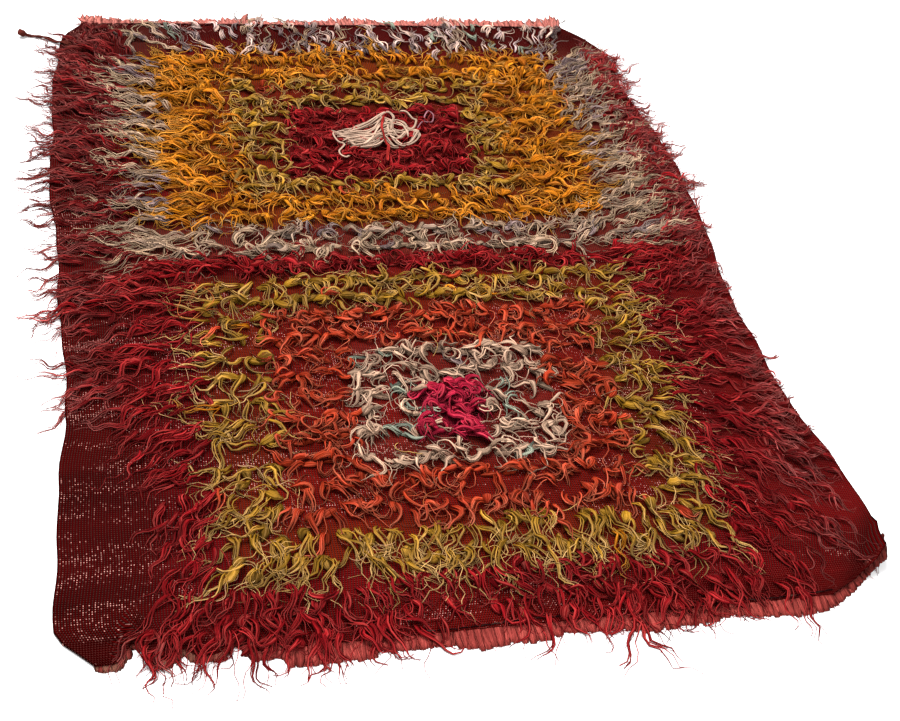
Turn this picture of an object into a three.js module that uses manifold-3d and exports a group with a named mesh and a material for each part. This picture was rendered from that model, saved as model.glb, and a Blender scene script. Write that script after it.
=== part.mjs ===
// A hand-woven wool rug with long knotted pile, lying flat on the floor.
// Millimetres. X runs across the rug, +Y towards its far end, +Z up from the floor.
// The origin is on the floor, at the middle of the woven ground.
import * as THREE from "three";
import { mergeVertices } from "three/addons/utils/BufferGeometryUtils.js";
import Module from "manifold-3d";

// Woven ground and pile.
const GROUND_THICKNESS = 4;
const SELVEDGE_THICKNESS = 6;
const PILE_DEPTH = 25;
const FAR_END = 752;
const NEAR_END = -736;
const KNOT_ROWS = 26;
const TUFTS_ACROSS = 30;
const RIDGE_SHARE = { least: 0.6, most: 1 };
const VALLEY_SHARE = { least: 0.2, most: 0.5 };

// Where the two long edges lie, from the far end to the near end.
const EDGES = [
  { along: FAR_END, left: -528, right: 468 },
  { along: 705, left: -570, right: 512 },
  { along: 650, left: -578, right: 545 },
  { along: 500, left: -586, right: 550 },
  { along: 250, left: -590, right: 584 },
  { along: 50, left: -578, right: 574 },
  { along: -150, left: -569, right: 560 },
  { along: -330, left: -562, right: 570 },
  { along: -480, left: -577, right: 597 },
  { along: -620, left: -576, right: 618 },
  { along: -690, left: -577, right: 586 },
  { along: NEAR_END, left: -528, right: 480 },
];

// Worn or thinly knotted patches, with the share of the pile that is left at their middle.
const THIN_PATCHES = [
  { across: -530, along: -510, halfAcross: 110, halfAlong: 270, share: 0.1 },
  { across: 540, along: -630, halfAcross: 150, halfAlong: 150, share: 0.1 },
  { across: -560, along: 700, halfAcross: 110, halfAlong: 90, share: 0.2 },
  { across: 530, along: 690, halfAcross: 110, halfAlong: 110, share: 0.2 },
  { across: 0, along: 740, halfAcross: 900, halfAlong: 80, share: 0.3 },
  { across: -550, along: 150, halfAcross: 90, halfAlong: 70, share: 0.4 },
];

// Heaps that stand above the pile: the looped yarn of the upper field, the felted tuft of the lower.
const HEAPS = [
  { across: 10, along: 395, halfAcross: 120, halfAlong: 90, rise: 16 },
  { across: 25, along: -322, halfAcross: 90, halfAlong: 85, rise: 12 },
];

// The near right corner is turned up beyond a slanting fold, rising by the slope past it.
const CORNER_FOLD = { across: 565, along: -620, heading: -40, slope: 0.55 };
// The room below the floor, and under the corner, that is cut away from the slab.
const CUT_SIZE = 2000;
const CUT_DEPTH = 40;

// Locks lying out over the long edges: pitch, reach past the edge, and the way they are combed.
const EDGE_LOCK = { width: 15, height: 8, rootInset: 22, segments: 3, fullness: 1.1 };
// Under its root a lock stands this little off the floor, and comes down to it at the tip.
const ROOT_CLEARANCE = 0.4;
const LOCK_EDGES = [
  { side: "left", from: 640, to: -320, count: 30, shortest: 14, longest: 34, headings: [158, 196] },
  { side: "right", from: 560, to: -470, count: 32, shortest: 12, longest: 30, headings: [32, -18] },
];
// The few that reach furthest, by where their roots leave the edge.
const LONG_LOCKS = [
  { side: "left", along: 700, length: 76, heading: 149, bend: 6 },
  { side: "left", along: 352, length: 54, heading: 172, bend: -8 },
  { side: "left", along: 258, length: 60, heading: 171, bend: 8 },
  { side: "left", along: 30, length: 54, heading: 176, bend: 8 },
  { side: "left", along: -84, length: 60, heading: 208, bend: -6 },
  { side: "right", along: 530, length: 46, heading: 24, bend: 8 },
  { side: "right", along: 372, length: 40, heading: 18, bend: -6 },
  { side: "right", along: 252, length: 30, heading: 12, bend: 6 },
  { side: "right", along: -268, length: 34, heading: -12, bend: -8 },
];

// Warp ends at the two ends, each row rooted in a narrow strip just off the woven edge.
const PIECE_GAP = 0.3;
const FRINGE_STRIP = { depth: 7, height: 4 };
const FRINGE_STRAND = { width: 11, height: 4, rootInset: 3, segments: 2, fullness: 0.8 };
const FRINGE_ENDS = [
  { name: "fringe_far", edge: FAR_END, outward: 1, count: 66, shortest: 22, longest: 34 },
  { name: "fringe_near", edge: NEAR_END, outward: -1, count: 66, shortest: 16, longest: 28 },
];
// Pile locks and loose threads that lie out past the fringe, in the place of a warp end.
const FRINGE_LOCKS = [
  { end: "fringe_far", across: -305, length: 52, width: 7, bend: -8 },
  { end: "fringe_far", across: 50, length: 44, width: 9, bend: 4 },
  { end: "fringe_far", across: 118, length: 42, width: 9, bend: 10 },
  { end: "fringe_far", across: 412, length: 44, width: 8, bend: 12 },
  { end: "fringe_far", across: 458, length: 52, width: 6, bend: 18 },
  { end: "fringe_near", across: -462, length: 46, width: 9, bend: -4 },
  { end: "fringe_near", across: -235, length: 72, width: 15, bend: 10 },
  { end: "fringe_near", across: -180, length: 46, width: 13, bend: -6 },
  { end: "fringe_near", across: -135, length: 42, width: 13, bend: 8 },
  { end: "fringe_near", across: 192, length: 84, width: 14, bend: 6 },
  { end: "fringe_near", across: 245, length: 52, width: 14, bend: 8 },
  { end: "fringe_near", across: 318, length: 54, width: 15, bend: -4 },
];

const SEED = 20311;
const RUG_COLOUR = 0x8a2a26;
const FRINGE_COLOUR = 0xb8605a;
const WOOL_ROUGHNESS = 0.95;

const wasm = await Module();
wasm.setup();

// A repeatable source of numbers from 0 to 1.
function seededRandom(seed) {
  let state = seed;
  return () => {
    state = (state + 0x6d2b79f5) | 0;
    let mixed = Math.imul(state ^ (state >>> 15), 1 | state);
    mixed = (mixed + Math.imul(mixed ^ (mixed >>> 7), 61 | mixed)) ^ mixed;
    return ((mixed ^ (mixed >>> 14)) >>> 0) / 2 ** 32;
  };
}
const random = seededRandom(SEED);
const between = (least, most) => THREE.MathUtils.lerp(least, most, random());

// Where the named long edge lies at a distance along the rug, straight between the table's rows.
function edgeAt(side, along) {
  const next = EDGES.findIndex((row, i) => i > 0 && along >= row.along);
  const below = EDGES[next < 0 ? EDGES.length - 1 : next];
  const above = EDGES[EDGES.indexOf(below) - 1];
  const share = (along - below.along) / (above.along - below.along);
  return THREE.MathUtils.lerp(below[side], above[side], share);
}

// 1 at the middle of a patch, falling smoothly to 0 at its ellipse.
function inPatch(patch, across, along) {
  const out = Math.hypot((across - patch.across) / patch.halfAcross, (along - patch.along) / patch.halfAlong);
  return THREE.MathUtils.smoothstep(1 - out, 0, 0.7);
}

// The share of the full pile at a place.
function pileShare(across, along) {
  const left = THIN_PATCHES.map((patch) => 1 - (1 - patch.share) * inPatch(patch, across, along));
  return Math.min(...left);
}

// How far the turned-up corner lifts the cloth at a place.
function cornerLift(across, along) {
  const heading = THREE.MathUtils.degToRad(CORNER_FOLD.heading);
  const past =
    (across - CORNER_FOLD.across) * Math.cos(heading) + (along - CORNER_FOLD.along) * Math.sin(heading);
  return CORNER_FOLD.slope * Math.max(0, past);
}

// Leaves only the shared corner points of a geometry.
function bareGeometry(geometry) {
  geometry.deleteAttribute("normal");
  geometry.deleteAttribute("uv");
  return mergeVertices(geometry);
}

// Moves every point of a geometry to the place that a function gives for it.
function reshape(geometry, placeOf) {
  const points = geometry.getAttribute("position");
  for (let i = 0; i < points.count; i += 1) {
    const place = placeOf(points.getX(i), points.getY(i), points.getZ(i));
    points.setXYZ(i, place.x, place.y, place.z);
  }
  return geometry;
}

function solidFrom(geometry) {
  const vertProperties = new Float32Array(geometry.getAttribute("position").array);
  const triVerts = new Uint32Array(geometry.index.array);
  return new wasm.Manifold(new wasm.Mesh({ numProp: 3, vertProperties, triVerts }));
}

function geometryFrom(solid) {
  const { vertProperties, triVerts } = solid.getMesh();
  const geometry = new THREE.BufferGeometry();
  geometry.setAttribute("position", new THREE.BufferAttribute(vertProperties, 3));
  geometry.setIndex(new THREE.BufferAttribute(triVerts, 1));
  return geometry;
}

// The height of the pile's top at a grid point: a ridge on each row of knots and a dip between.
function pileTop(across, along, onRidge) {
  const share = onRidge ? RIDGE_SHARE : VALLEY_SHARE;
  const tuft = PILE_DEPTH * pileShare(across, along) * between(share.least, share.most);
  const heap = HEAPS.reduce((sum, row) => sum + row.rise * inPatch(row, across, along), 0);
  return GROUND_THICKNESS + tuft + heap;
}

// The slab: a grid over the outline with a row of tufts on every second grid line, cut flat at
// the floor and along the underside of the turned-up corner.
function pileSlab() {
  const gridRows = 2 * KNOT_ROWS;
  const grid = bareGeometry(new THREE.BoxGeometry(1, 1, 1, TUFTS_ACROSS, gridRows, 1));
  reshape(grid, (x, y, z) => {
    const along = THREE.MathUtils.lerp(NEAR_END, FAR_END, y + 0.5);
    const across = THREE.MathUtils.lerp(edgeAt("left", along), edgeAt("right", along), x + 0.5);
    const onRim = Math.max(Math.abs(x), Math.abs(y)) > 0.5 - 1e-6;
    const onRidge = Math.round((y + 0.5) * gridRows) % 2 === 1;
    const rimTop = SELVEDGE_THICKNESS * between(0.8, 1);
    const top = (onRim ? rimTop : pileTop(across, along, onRidge)) + cornerLift(across, along);
    return { x: across, y: along, z: z > 0 ? top : -CUT_DEPTH / 2 };
  });
  const below = bareGeometry(new THREE.BoxGeometry(CUT_SIZE, CUT_SIZE, CUT_DEPTH));
  below.translate(0, 0, -CUT_DEPTH / 2);
  const underCorner = below.clone();
  underCorner.rotateY(-Math.atan(CORNER_FOLD.slope));
  underCorner.rotateZ(THREE.MathUtils.degToRad(CORNER_FOLD.heading));
  underCorner.translate(CORNER_FOLD.across, CORNER_FOLD.along, 0);
  return solidFrom(grid).subtract(solidFrom(below)).subtract(solidFrom(underCorner));
}

// A three-sided lock that lies on the floor: flat below, ridged above, tapering to its tip.
// It leaves its root along the heading and bends aside as the square of the way to the tip.
function floorLock(root, { heading, length, width, height, bend, segments, fullness }) {
  const cone = bareGeometry(new THREE.ConeGeometry(1, 1, 3, segments));
  const turn = THREE.MathUtils.degToRad(heading);
  const halfBase = Math.sin(Math.PI / 3);
  const baseDrop = Math.cos(Math.PI / 3);
  return reshape(cone, (x, y, z) => {
    const share = y + 0.5;
    const swell = 1 + fullness * share;
    const aside = ((x / halfBase) * width * swell) / 2 + bend * share ** 2;
    const up = ((z + baseDrop * (1 - share)) / (1 + baseDrop)) * height * swell;
    const ahead = length * share;
    return {
      x: root.x + ahead * Math.cos(turn) + aside * Math.sin(turn),
      y: root.y + ahead * Math.sin(turn) - aside * Math.cos(turn),
      z: up + ROOT_CLEARANCE * (1 - share),
    };
  });
}

// A lock whose root is sunk into the slab behind a long edge.
function edgeLock(side, along, heading, length, bend) {
  const turn = THREE.MathUtils.degToRad(heading);
  const root = new THREE.Vector3(
    edgeAt(side, along) - EDGE_LOCK.rootInset * Math.cos(turn),
    along - EDGE_LOCK.rootInset * Math.sin(turn),
    0,
  );
  return floorLock(root, { ...EDGE_LOCK, heading, length: length + EDGE_LOCK.rootInset, bend });
}

// Every lock along the two long edges, the long ones in the place of those they would lie on.
function edgeLocks() {
  const locks = LONG_LOCKS.map((row) => edgeLock(row.side, row.along, row.heading, row.length, row.bend));
  for (const row of LOCK_EDGES) {
    const pitch = (row.from - row.to) / row.count;
    for (let i = 0; i < row.count; i += 1) {
      const along = row.from - pitch * (i + between(0.3, 0.7));
      const heading = THREE.MathUtils.lerp(...row.headings, i / row.count) + between(-12, 12);
      const length = between(row.shortest, row.longest);
      const bend = between(-8, 8);
      const taken = LONG_LOCKS.some((one) => one.side === row.side && Math.abs(one.along - along) < pitch);
      if (!taken) locks.push(edgeLock(row.side, along, heading, length, bend));
    }
  }
  return locks;
}

// The strip and its strands for one end.
function fringe(end) {
  const length = FRINGE_STRIP.depth;
  const left = edgeAt("left", end.edge);
  const right = edgeAt("right", end.edge);
  const strip = bareGeometry(new THREE.BoxGeometry(right - left, length, FRINGE_STRIP.height));
  const stripMiddle = end.edge + end.outward * (PIECE_GAP + length / 2);
  strip.translate((left + right) / 2, stripMiddle, FRINGE_STRIP.height / 2);
  const rootLine = end.edge + end.outward * (PIECE_GAP + length - FRINGE_STRAND.rootInset);
  const pitch = (right - left) / end.count;
  const places = Array.from({ length: end.count }, (_, i) => left + pitch * (i + 0.5));
  const long = FRINGE_LOCKS.filter((row) => row.end === end.name);
  const strands = places
    .filter((across) => long.every((row) => Math.abs(row.across - across) > pitch))
    .map((across) => ({ across, length: between(end.shortest, end.longest), bend: between(-3, 3) }));
  return [...strands, ...long].reduce((solid, row) => {
    const root = new THREE.Vector3(row.across, rootLine, 0);
    const strand = floorLock(root, { ...FRINGE_STRAND, heading: 90 * end.outward, ...row });
    return solid.add(solidFrom(strand));
  }, solidFrom(strip));
}

function woolMesh(name, solid, color) {
  const material = new THREE.MeshStandardMaterial({ color, roughness: WOOL_ROUGHNESS, metalness: 0 });
  const mesh = new THREE.Mesh(geometryFrom(solid), material);
  mesh.name = name;
  return mesh;
}

const rug = new THREE.Group();
const slab = edgeLocks().reduce((solid, lock) => solid.add(solidFrom(lock)), pileSlab());
rug.add(woolMesh("rug", slab, RUG_COLOUR));
for (const end of FRINGE_ENDS) rug.add(woolMesh(end.name, fringe(end), FRINGE_COLOUR));

export default rug;
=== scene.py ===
"""The looks of a hand-woven wool rug with long knotted pile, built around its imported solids.

Places are millimetres on the rug's own plan, X across and Y towards the far end, with Z up from the
floor. They become metres where a mesh is made.
"""

import logging
import math
from dataclasses import dataclass, field
from enum import Enum
from typing import Any

import bpy
import numpy as np
from mathutils import Matrix, Vector


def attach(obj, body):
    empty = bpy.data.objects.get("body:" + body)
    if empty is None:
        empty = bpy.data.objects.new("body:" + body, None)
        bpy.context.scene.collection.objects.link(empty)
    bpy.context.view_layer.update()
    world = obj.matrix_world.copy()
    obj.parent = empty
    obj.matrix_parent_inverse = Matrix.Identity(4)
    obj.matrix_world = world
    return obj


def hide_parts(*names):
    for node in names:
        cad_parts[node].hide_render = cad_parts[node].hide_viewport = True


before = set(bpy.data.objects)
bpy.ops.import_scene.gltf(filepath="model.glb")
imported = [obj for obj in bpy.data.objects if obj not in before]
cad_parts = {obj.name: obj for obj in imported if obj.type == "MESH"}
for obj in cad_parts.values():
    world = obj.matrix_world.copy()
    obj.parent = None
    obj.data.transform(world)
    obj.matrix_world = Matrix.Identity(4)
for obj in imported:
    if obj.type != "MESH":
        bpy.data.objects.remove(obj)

MM = 0.001
SEED = 4127
FULL_TURN = 2 * math.pi
BODY = "root"
BAKE_MAP = "OFBake"
# How much fibres are drawn out along a strand, and how far the next strand's are moved on.
FIBRE_STRETCH = 0.05
FIBRE_OFFSET = 13.7
# Share of a map cell that is left bare on each side of a strand, and share of that for its caps.
CELL_MARGIN = 0.1
CAP_DEPTH = 0.4
# Share of a patch's half-width that it fades over.
PATCH_RIM = 0.35

Array = np.ndarray
Colour = tuple[int, int, int]
Span = tuple[float, float]
log = logging.getLogger("rug")


def smooth(value: Array, low: float, high: float) -> Array:
    """Rises from 0 at low to 1 at high along a cubic with level ends.

    Args:
        value: The numbers to read.
        low: Where the rise starts.
        high: Where it ends.

    Returns:
        The eased share of each number.
    """
    share = np.clip((value - low) / (high - low), 0.0, 1.0)
    return share * share * (3.0 - 2.0 * share)


@dataclass(frozen=True)
class Ramp:
    """A smooth rise from nothing between two places."""

    low: float
    high: float
    rise: float = 1.0

    def at(self, value: Array) -> Array:
        """How far it has risen at each value."""
        return self.rise * smooth(value, self.low, self.high)


def linear(colour: Colour) -> Array:
    """Turns a display colour of 0 to 255 into linear light by the screen's standard curve.

    Args:
        colour: Red, green and blue as seen on a screen.

    Returns:
        The three linear values.
    """
    share = np.array(colour, float) / 255.0
    return np.where(share <= 0.04045, share / 12.92, ((share + 0.055) / 1.055) ** 2.4)


class Dye(Enum):
    """The wools that the locks are dyed to."""

    WINE = "wine"
    CRIMSON = "crimson"
    GOLD = "gold"
    OLIVE = "olive"
    ORANGE = "orange"
    GREY = "grey"
    LAVENDER = "lavender"
    TAUPE = "taupe"
    IVORY = "ivory"
    PINK = "pink"
    TEAL = "teal"


@dataclass(frozen=True)
class Wool:
    """A dyed wool: the colours of a lock's body, its bleached tips and its darker strands.

    Attributes:
        body: Colour along most of a lock.
        tip: Colour that the tips fade to.
        deep: Colour of the darkest strands.
        fade: Share of the tip colour at the very end.
        uneven: How far one lock's brightness differs from the next.
        felt: Share of the ground that its felted roots hide.
    """

    body: Colour
    tip: Colour
    deep: Colour
    fade: float
    uneven: float
    felt: float


WOOLS: dict[Dye, Wool] = {
    Dye.WINE: Wool((134, 23, 27), (204, 120, 114), (100, 8, 12), 0.75, 0.22, 0.15),
    Dye.CRIMSON: Wool((140, 16, 24), (184, 72, 70), (114, 7, 12), 0.5, 0.15, 0.5),
    Dye.GOLD: Wool((200, 121, 12), (226, 178, 90), (154, 78, 8), 0.65, 0.15, 0.25),
    Dye.OLIVE: Wool((162, 117, 26), (236, 192, 134), (116, 79, 12), 0.9, 0.16, 0.1),
    Dye.ORANGE: Wool((171, 54, 25), (204, 130, 98), (146, 36, 17), 0.7, 0.13, 0.1),
    Dye.GREY: Wool((184, 149, 118), (238, 204, 164), (124, 104, 96), 0.8, 0.18, 0.1),
    Dye.LAVENDER: Wool((136, 113, 109), (190, 166, 150), (106, 88, 90), 0.6, 0.18, 0.0),
    Dye.TAUPE: Wool((198, 162, 135), (228, 196, 170), (160, 126, 105), 0.6, 0.13, 0.05),
    Dye.IVORY: Wool((224, 184, 160), (242, 212, 190), (164, 142, 148), 0.6, 0.18, 0.0),
    Dye.PINK: Wool((176, 30, 60), (194, 64, 86), (158, 20, 46), 0.5, 0.08, 0.9),
    Dye.TEAL: Wool((144, 150, 130), (190, 184, 158), (112, 120, 108), 0.6, 0.14, 0.0),
}


@dataclass(frozen=True)
class LockStyle:
    """How the locks of one wool are made.

    Attributes:
        curled: Shortest and longest lock where the pile is left to curl.
        combed: Shortest and longest lock where it is combed out.
        strands: A pale wisp, a broad lock and finer strands: how many at one knot.
        radius: Half-width of a fine strand.
        mat: Width of the felted mat at the knot.
        arch: How high the lock stands where it leaves its knot.
    """

    curled: Span
    combed: Span
    strands: int
    radius: float
    mat: float
    arch: float


STYLES: dict[Dye, LockStyle] = {
    Dye.WINE: LockStyle((45, 75), (80, 130), 5, 1.25, 12, 5),
    Dye.CRIMSON: LockStyle((42, 70), (70, 115), 4, 1.65, 15, 6),
    Dye.GOLD: LockStyle((45, 85), (85, 135), 5, 1.55, 15, 6),
    Dye.OLIVE: LockStyle((48, 90), (85, 145), 4, 1.65, 16, 7),
    Dye.ORANGE: LockStyle((46, 84), (48, 84), 4, 2.0, 13, 6),
    Dye.GREY: LockStyle((45, 80), (105, 170), 6, 1.35, 14, 6),
    Dye.LAVENDER: LockStyle((45, 80), (85, 130), 5, 1.35, 14, 6),
    Dye.TAUPE: LockStyle((48, 90), (60, 90), 4, 1.9, 15, 7),
    Dye.IVORY: LockStyle((40, 64), (50, 86), 4, 1.7, 11, 5),
    Dye.PINK: LockStyle((40, 64), (50, 70), 5, 2.7, 16, 8),
    Dye.TEAL: LockStyle((45, 70), (50, 70), 6, 1.6, 9, 5),
}


def wool_values(table: dict[Dye, Any], name: str, dye: Array) -> Array:
    """Looks one value up for many wools.

    Args:
        table: The wools or their styles.
        name: The value's name there.
        dye: Numbers of wools in the Dye list.

    Returns:
        The value of each.
    """
    return np.array([getattr(table[d], name) for d in Dye])[dye]


def wool_colours(name: str, dye: Array) -> Array:
    """The linear colour of that name of each of many wools."""
    return np.array([linear(getattr(WOOLS[d], name)) for d in Dye])[dye]


@dataclass(frozen=True)
class Ring:
    """One colour's rectangle in a medallion; those listed later lie inside the earlier ones."""

    dye: Dye
    left: float
    right: float
    near: float
    far: float

    def holds(self, across: Array, along: Array) -> Array:
        """True for the places inside the rectangle."""
        return (across > self.left) & (across < self.right) & (along > self.near) & (along < self.far)


RINGS = (
    Ring(Dye.CRIMSON, -460, 470, -760, 24),
    Ring(Dye.GREY, -440, 470, 24, 740),
    Ring(Dye.LAVENDER, -440, -375, 520, 640),
    Ring(Dye.LAVENDER, -440, -375, 110, 250),
    Ring(Dye.LAVENDER, 395, 470, 530, 624),
    Ring(Dye.IVORY, -360, 440, 624, 740),
    Ring(Dye.GOLD, -375, 385, 108, 624),
    Ring(Dye.OLIVE, -265, 235, 194, 537),
    Ring(Dye.CRIMSON, -165, 178, 236, 452),
    Ring(Dye.OLIVE, -355, 365, -624, -22),
    Ring(Dye.ORANGE, -265, 278, -537, -108),
    Ring(Dye.TAUPE, -135, 178, -452, -194),
    Ring(Dye.PINK, -30, 66, -395, -280),
)


def dye_at(across: Array, along: Array) -> Array:
    """The number, in the Dye list, of the wool that the rings give each place."""
    dyes = list(Dye)
    dye = np.full(across.shape, dyes.index(Dye.WINE))
    for ring in RINGS:
        dye[ring.holds(across, along)] = dyes.index(ring.dye)
    return dye


@dataclass(frozen=True)
class Patch:
    """An ellipse of thin pile or worn ground, with the share of knots or of wear at its middle."""

    across: float
    along: float
    half_across: float
    half_along: float
    share: float

    def inside(self, across: Array, along: Array) -> Array:
        """1 over the middle of the ellipse, falling smoothly to 0 at its rim."""
        out = np.hypot((across - self.across) / self.half_across, (along - self.along) / self.half_along)
        return smooth(1.0 - out, 0.0, PATCH_RIM)


@dataclass(frozen=True)
class Fill:
    """A rectangle where the pile is thickest, and the knots tied between its rows."""

    left: float
    right: float
    near: float
    far: float
    knots: int

    def places(self, rng: np.random.Generator) -> Array:
        """Chance places in the rectangle, across and along."""
        return rng.uniform((self.left, self.near), (self.right, self.far), (self.knots, 2))


FILLS = (
    Fill(-440, 450, -20, 22, 80),
    Fill(-155, 168, 248, 446, 60),
    Fill(-370, -280, 130, 610, 60),
    Fill(260, 380, 130, 610, 50),
    Fill(-26, 60, -386, -288, 18),
    Fill(480, 555, 40, 640, 80),
    Fill(490, 545, 560, 640, 10),
    Fill(490, 550, -480, 60, 36),
    Fill(-566, -490, 200, 680, 36),
)


@dataclass(frozen=True)
class Stray:
    """Another wool's knots tied in among one wool's, and the share of them."""

    among: Dye
    wool: Dye
    share: float


STRAYS = (
    Stray(Dye.GREY, Dye.LAVENDER, 0.12),
    Stray(Dye.LAVENDER, Dye.GREY, 0.4),
    Stray(Dye.IVORY, Dye.LAVENDER, 0.2),
    Stray(Dye.IVORY, Dye.GREY, 0.12),
    Stray(Dye.IVORY, Dye.TEAL, 0.12),
    Stray(Dye.TAUPE, Dye.TEAL, 0.05),
    Stray(Dye.TAUPE, Dye.LAVENDER, 0.03),
    Stray(Dye.OLIVE, Dye.GOLD, 0.03),
    Stray(Dye.OLIVE, Dye.ORANGE, 0.03),
    Stray(Dye.WINE, Dye.CRIMSON, 0.06),
)

THIN_PATCHES = (
    Patch(-560, -520, 160, 300, 0.02),
    Patch(620, -700, 150, 130, 0.1),
    Patch(560, -620, 160, 170, 0.55),
    Patch(-560, 710, 120, 90, 0.5),
    Patch(550, 715, 150, 110, 0.08),
    Patch(0, 720, 1200, 110, 0.62),
    Patch(-560, 140, 80, 50, 0.3),
    Patch(-540, -140, 80, 45, 0.4),
    Patch(-75, -330, 30, 50, 0.2),
    Patch(112, -330, 30, 50, 0.2),
    Patch(-20, -712, 120, 56, 0.4),
    Patch(440, -735, 140, 60, 0.3),
)

WORN_PATCHES = (
    Patch(-545, -470, 190, 330, 0.8),
    Patch(-560, 140, 110, 70, 1.0),
    Patch(-520, -140, 110, 60, 1.0),
    Patch(-420, 725, 160, 50, 1.0),
    Patch(-75, -330, 60, 90, 0.6),
    Patch(112, -330, 60, 90, 0.6),
    Patch(-240, -300, 260, 330, 0.85),
    Patch(250, -300, 260, 330, 0.85),
    Patch(40, -715, 220, 70, 0.75),
)


@dataclass(frozen=True)
class Notch:
    """A tear in the near end: where it lies across, how far in it goes and half its width."""

    across: float
    depth: float
    half_width: float


NOTCHES = (
    Notch(-478, 30, 26),
    Notch(-418, 14, 18),
    Notch(-352, 22, 24),
    Notch(-296, 8, 18),
)


@dataclass(frozen=True)
class RugPlan:
    """The outline of the woven ground and the lie of its pile.

    Attributes:
        along: Distances along the rug, near to far, of the rows of the edge table.
        left: Where the left edge lies at each.
        right: Where the right edge lies at each.
        corner: A point on the fold of the turned-up near right corner.
        corner_heading: The way, in degrees, that the corner rises.
        corner_slope: How steeply it rises past the fold.
        overhang_least: How far locks hang over the right edge at the near end.
        overhang_rises: How much farther they hang past its middle and at its far half.
        darkened_edge: How much the pile is darkened towards the left edge, by the distance to the left.
        darkened_half: Where along the rug it is darkened.
        combed_sides: Combing by the distance from the middle line.
        combed_far: Combing towards the far end.
        combed_near: Combing towards the near end, by the distance back.
        flow_sides: How far the pile follows the edges, by the distance from the middle line.
        parting: Where the middle of the pile parts, away from the viewer past it and towards it before.
        left_flow: The way the pile is combed at the left: distances along and degrees.
        right_flow: The same at the right.
    """

    along: tuple[float, ...] = (-736, -690, -620, -480, -330, -150, 50, 250, 500, 650, 705, 752)
    left: tuple[float, ...] = (-528, -577, -576, -577, -562, -569, -578, -590, -586, -578, -570, -528)
    right: tuple[float, ...] = (496, 592, 616, 597, 570, 560, 574, 584, 550, 545, 512, 468)
    corner: tuple[float, float] = (590, -644)
    corner_heading: float = -34
    corner_slope: float = 1.3
    overhang_least: float = 6.0
    overhang_rises: tuple[Ramp, Ramp] = (Ramp(-260, -160, 16.0), Ramp(0, 160, 65.0))
    darkened_edge: Ramp = Ramp(400, 500, 0.3)
    darkened_half: Ramp = Ramp(0, 160)
    combed_sides: Ramp = Ramp(210, 400)
    combed_far: Ramp = Ramp(540, 640)
    combed_near: Ramp = Ramp(400, 560, 0.75)
    flow_sides: Ramp = Ramp(150, 360)
    parting: float = 500
    left_flow: tuple[tuple[float, float], ...] = (
        (-700, 255), (-600, 242), (-450, 220), (-150, 192), (0, 182), (200, 168), (400, 158), (550, 146),
        (700, 125),
    )
    right_flow: tuple[tuple[float, float], ...] = (
        (-700, -75), (-600, -55), (-450, -35), (-250, -12), (-100, 15), (100, 30), (300, 30), (450, 36),
        (600, 52), (700, 70),
    )

    @property
    def near(self) -> float:
        """Where the weaving ends towards the viewer."""
        return self.along[0]

    @property
    def far(self) -> float:
        """Where it ends away from the viewer."""
        return self.along[-1]

    def edges(self, along: Array) -> tuple[Array, Array]:
        """Left and right edge at distances along the rug, straight between the table's rows."""
        return np.interp(along, self.along, self.left), np.interp(along, self.along, self.right)

    def near_edge(self, across: Array) -> Array:
        """Where the near end lies at places across: the weaving's end, with the torn notches cut in."""
        depth = [n.depth * smooth(1.0 - np.abs(across - n.across) / n.half_width, 0.0, 1.0) for n in NOTCHES]
        return self.near + np.sum(depth, axis=0)

    def past_fold(self, across: Array, along: Array) -> Array:
        """How far a place lies past the fold of the turned-up corner; less than 0 short of it."""
        turn = math.radians(self.corner_heading)
        return (across - self.corner[0]) * math.cos(turn) + (along - self.corner[1]) * math.sin(turn)

    def lift(self, across: Array, along: Array) -> Array:
        """How far the turned-up corner raises the cloth: the slope times the way past the fold."""
        return self.corner_slope * np.maximum(self.past_fold(across, along), 0.0)

    def pile_share(self, across: Array, along: Array) -> Array:
        """The share of knots that a place keeps: the least that any thin patch leaves it."""
        left = [1.0 - (1.0 - patch.share) * patch.inside(across, along) for patch in THIN_PATCHES]
        return np.minimum.reduce(left)

    def overhang(self, along: Array) -> Array:
        """How far locks hang over the right edge: far at the far end, hardly at all at the near end."""
        middle, far = self.overhang_rises
        return self.overhang_least + middle.at(along) + far.at(along)

    def left_darkening(self, across: Array, along: Array) -> Array:
        """Share of its brightness that the pile keeps: least along the far half of the left edge."""
        return 1.0 - self.darkened_edge.at(-across) * self.darkened_half.at(along)

    def wear(self, across: Array, along: Array) -> Array:
        """From 0 to 1, how much pale warp shows: the most that any worn patch has."""
        return np.maximum.reduce([patch.share * patch.inside(across, along) for patch in WORN_PATCHES])

    def combing(self, across: Array, along: Array) -> Array:
        """From 0, left to curl, to 1, combed straight: the most that the sides or either end give."""
        return np.maximum.reduce([
            self.combed_sides.at(np.abs(across)),
            self.combed_far.at(along),
            self.combed_near.at(-along),
        ])

    def flow(self, across: Array, along: Array) -> Array:
        """The way the pile is combed, in radians: outward at the edges, away or down at the ends."""
        left = np.interp(along, *np.transpose(self.left_flow))
        right = np.interp(along, *np.transpose(self.right_flow))
        side = np.radians(np.where(across < 0, left, right))
        middle = np.where(along > self.parting, 1.0, -1.0)
        weight = self.flow_sides.at(np.abs(across))
        return np.arctan2(
            weight * np.sin(side) + (1.0 - weight) * middle,
            weight * np.cos(side),
        )


@dataclass
class Strands:
    """Many tapered wool strands, each a row of points with a radius at each.

    Attributes:
        points: Places, by strand, step and axis.
        radii: Half-width at each step.
        flatness: Height of each strand's section over its width.
        colours: Linear colour at each step.
    """

    points: Array
    radii: Array
    flatness: Array
    colours: Array

    def taken(self, keep: Array) -> "Strands":
        """The strands that a mask keeps."""
        return Strands(self.points[keep], self.radii[keep], self.flatness[keep], self.colours[keep])


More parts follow.
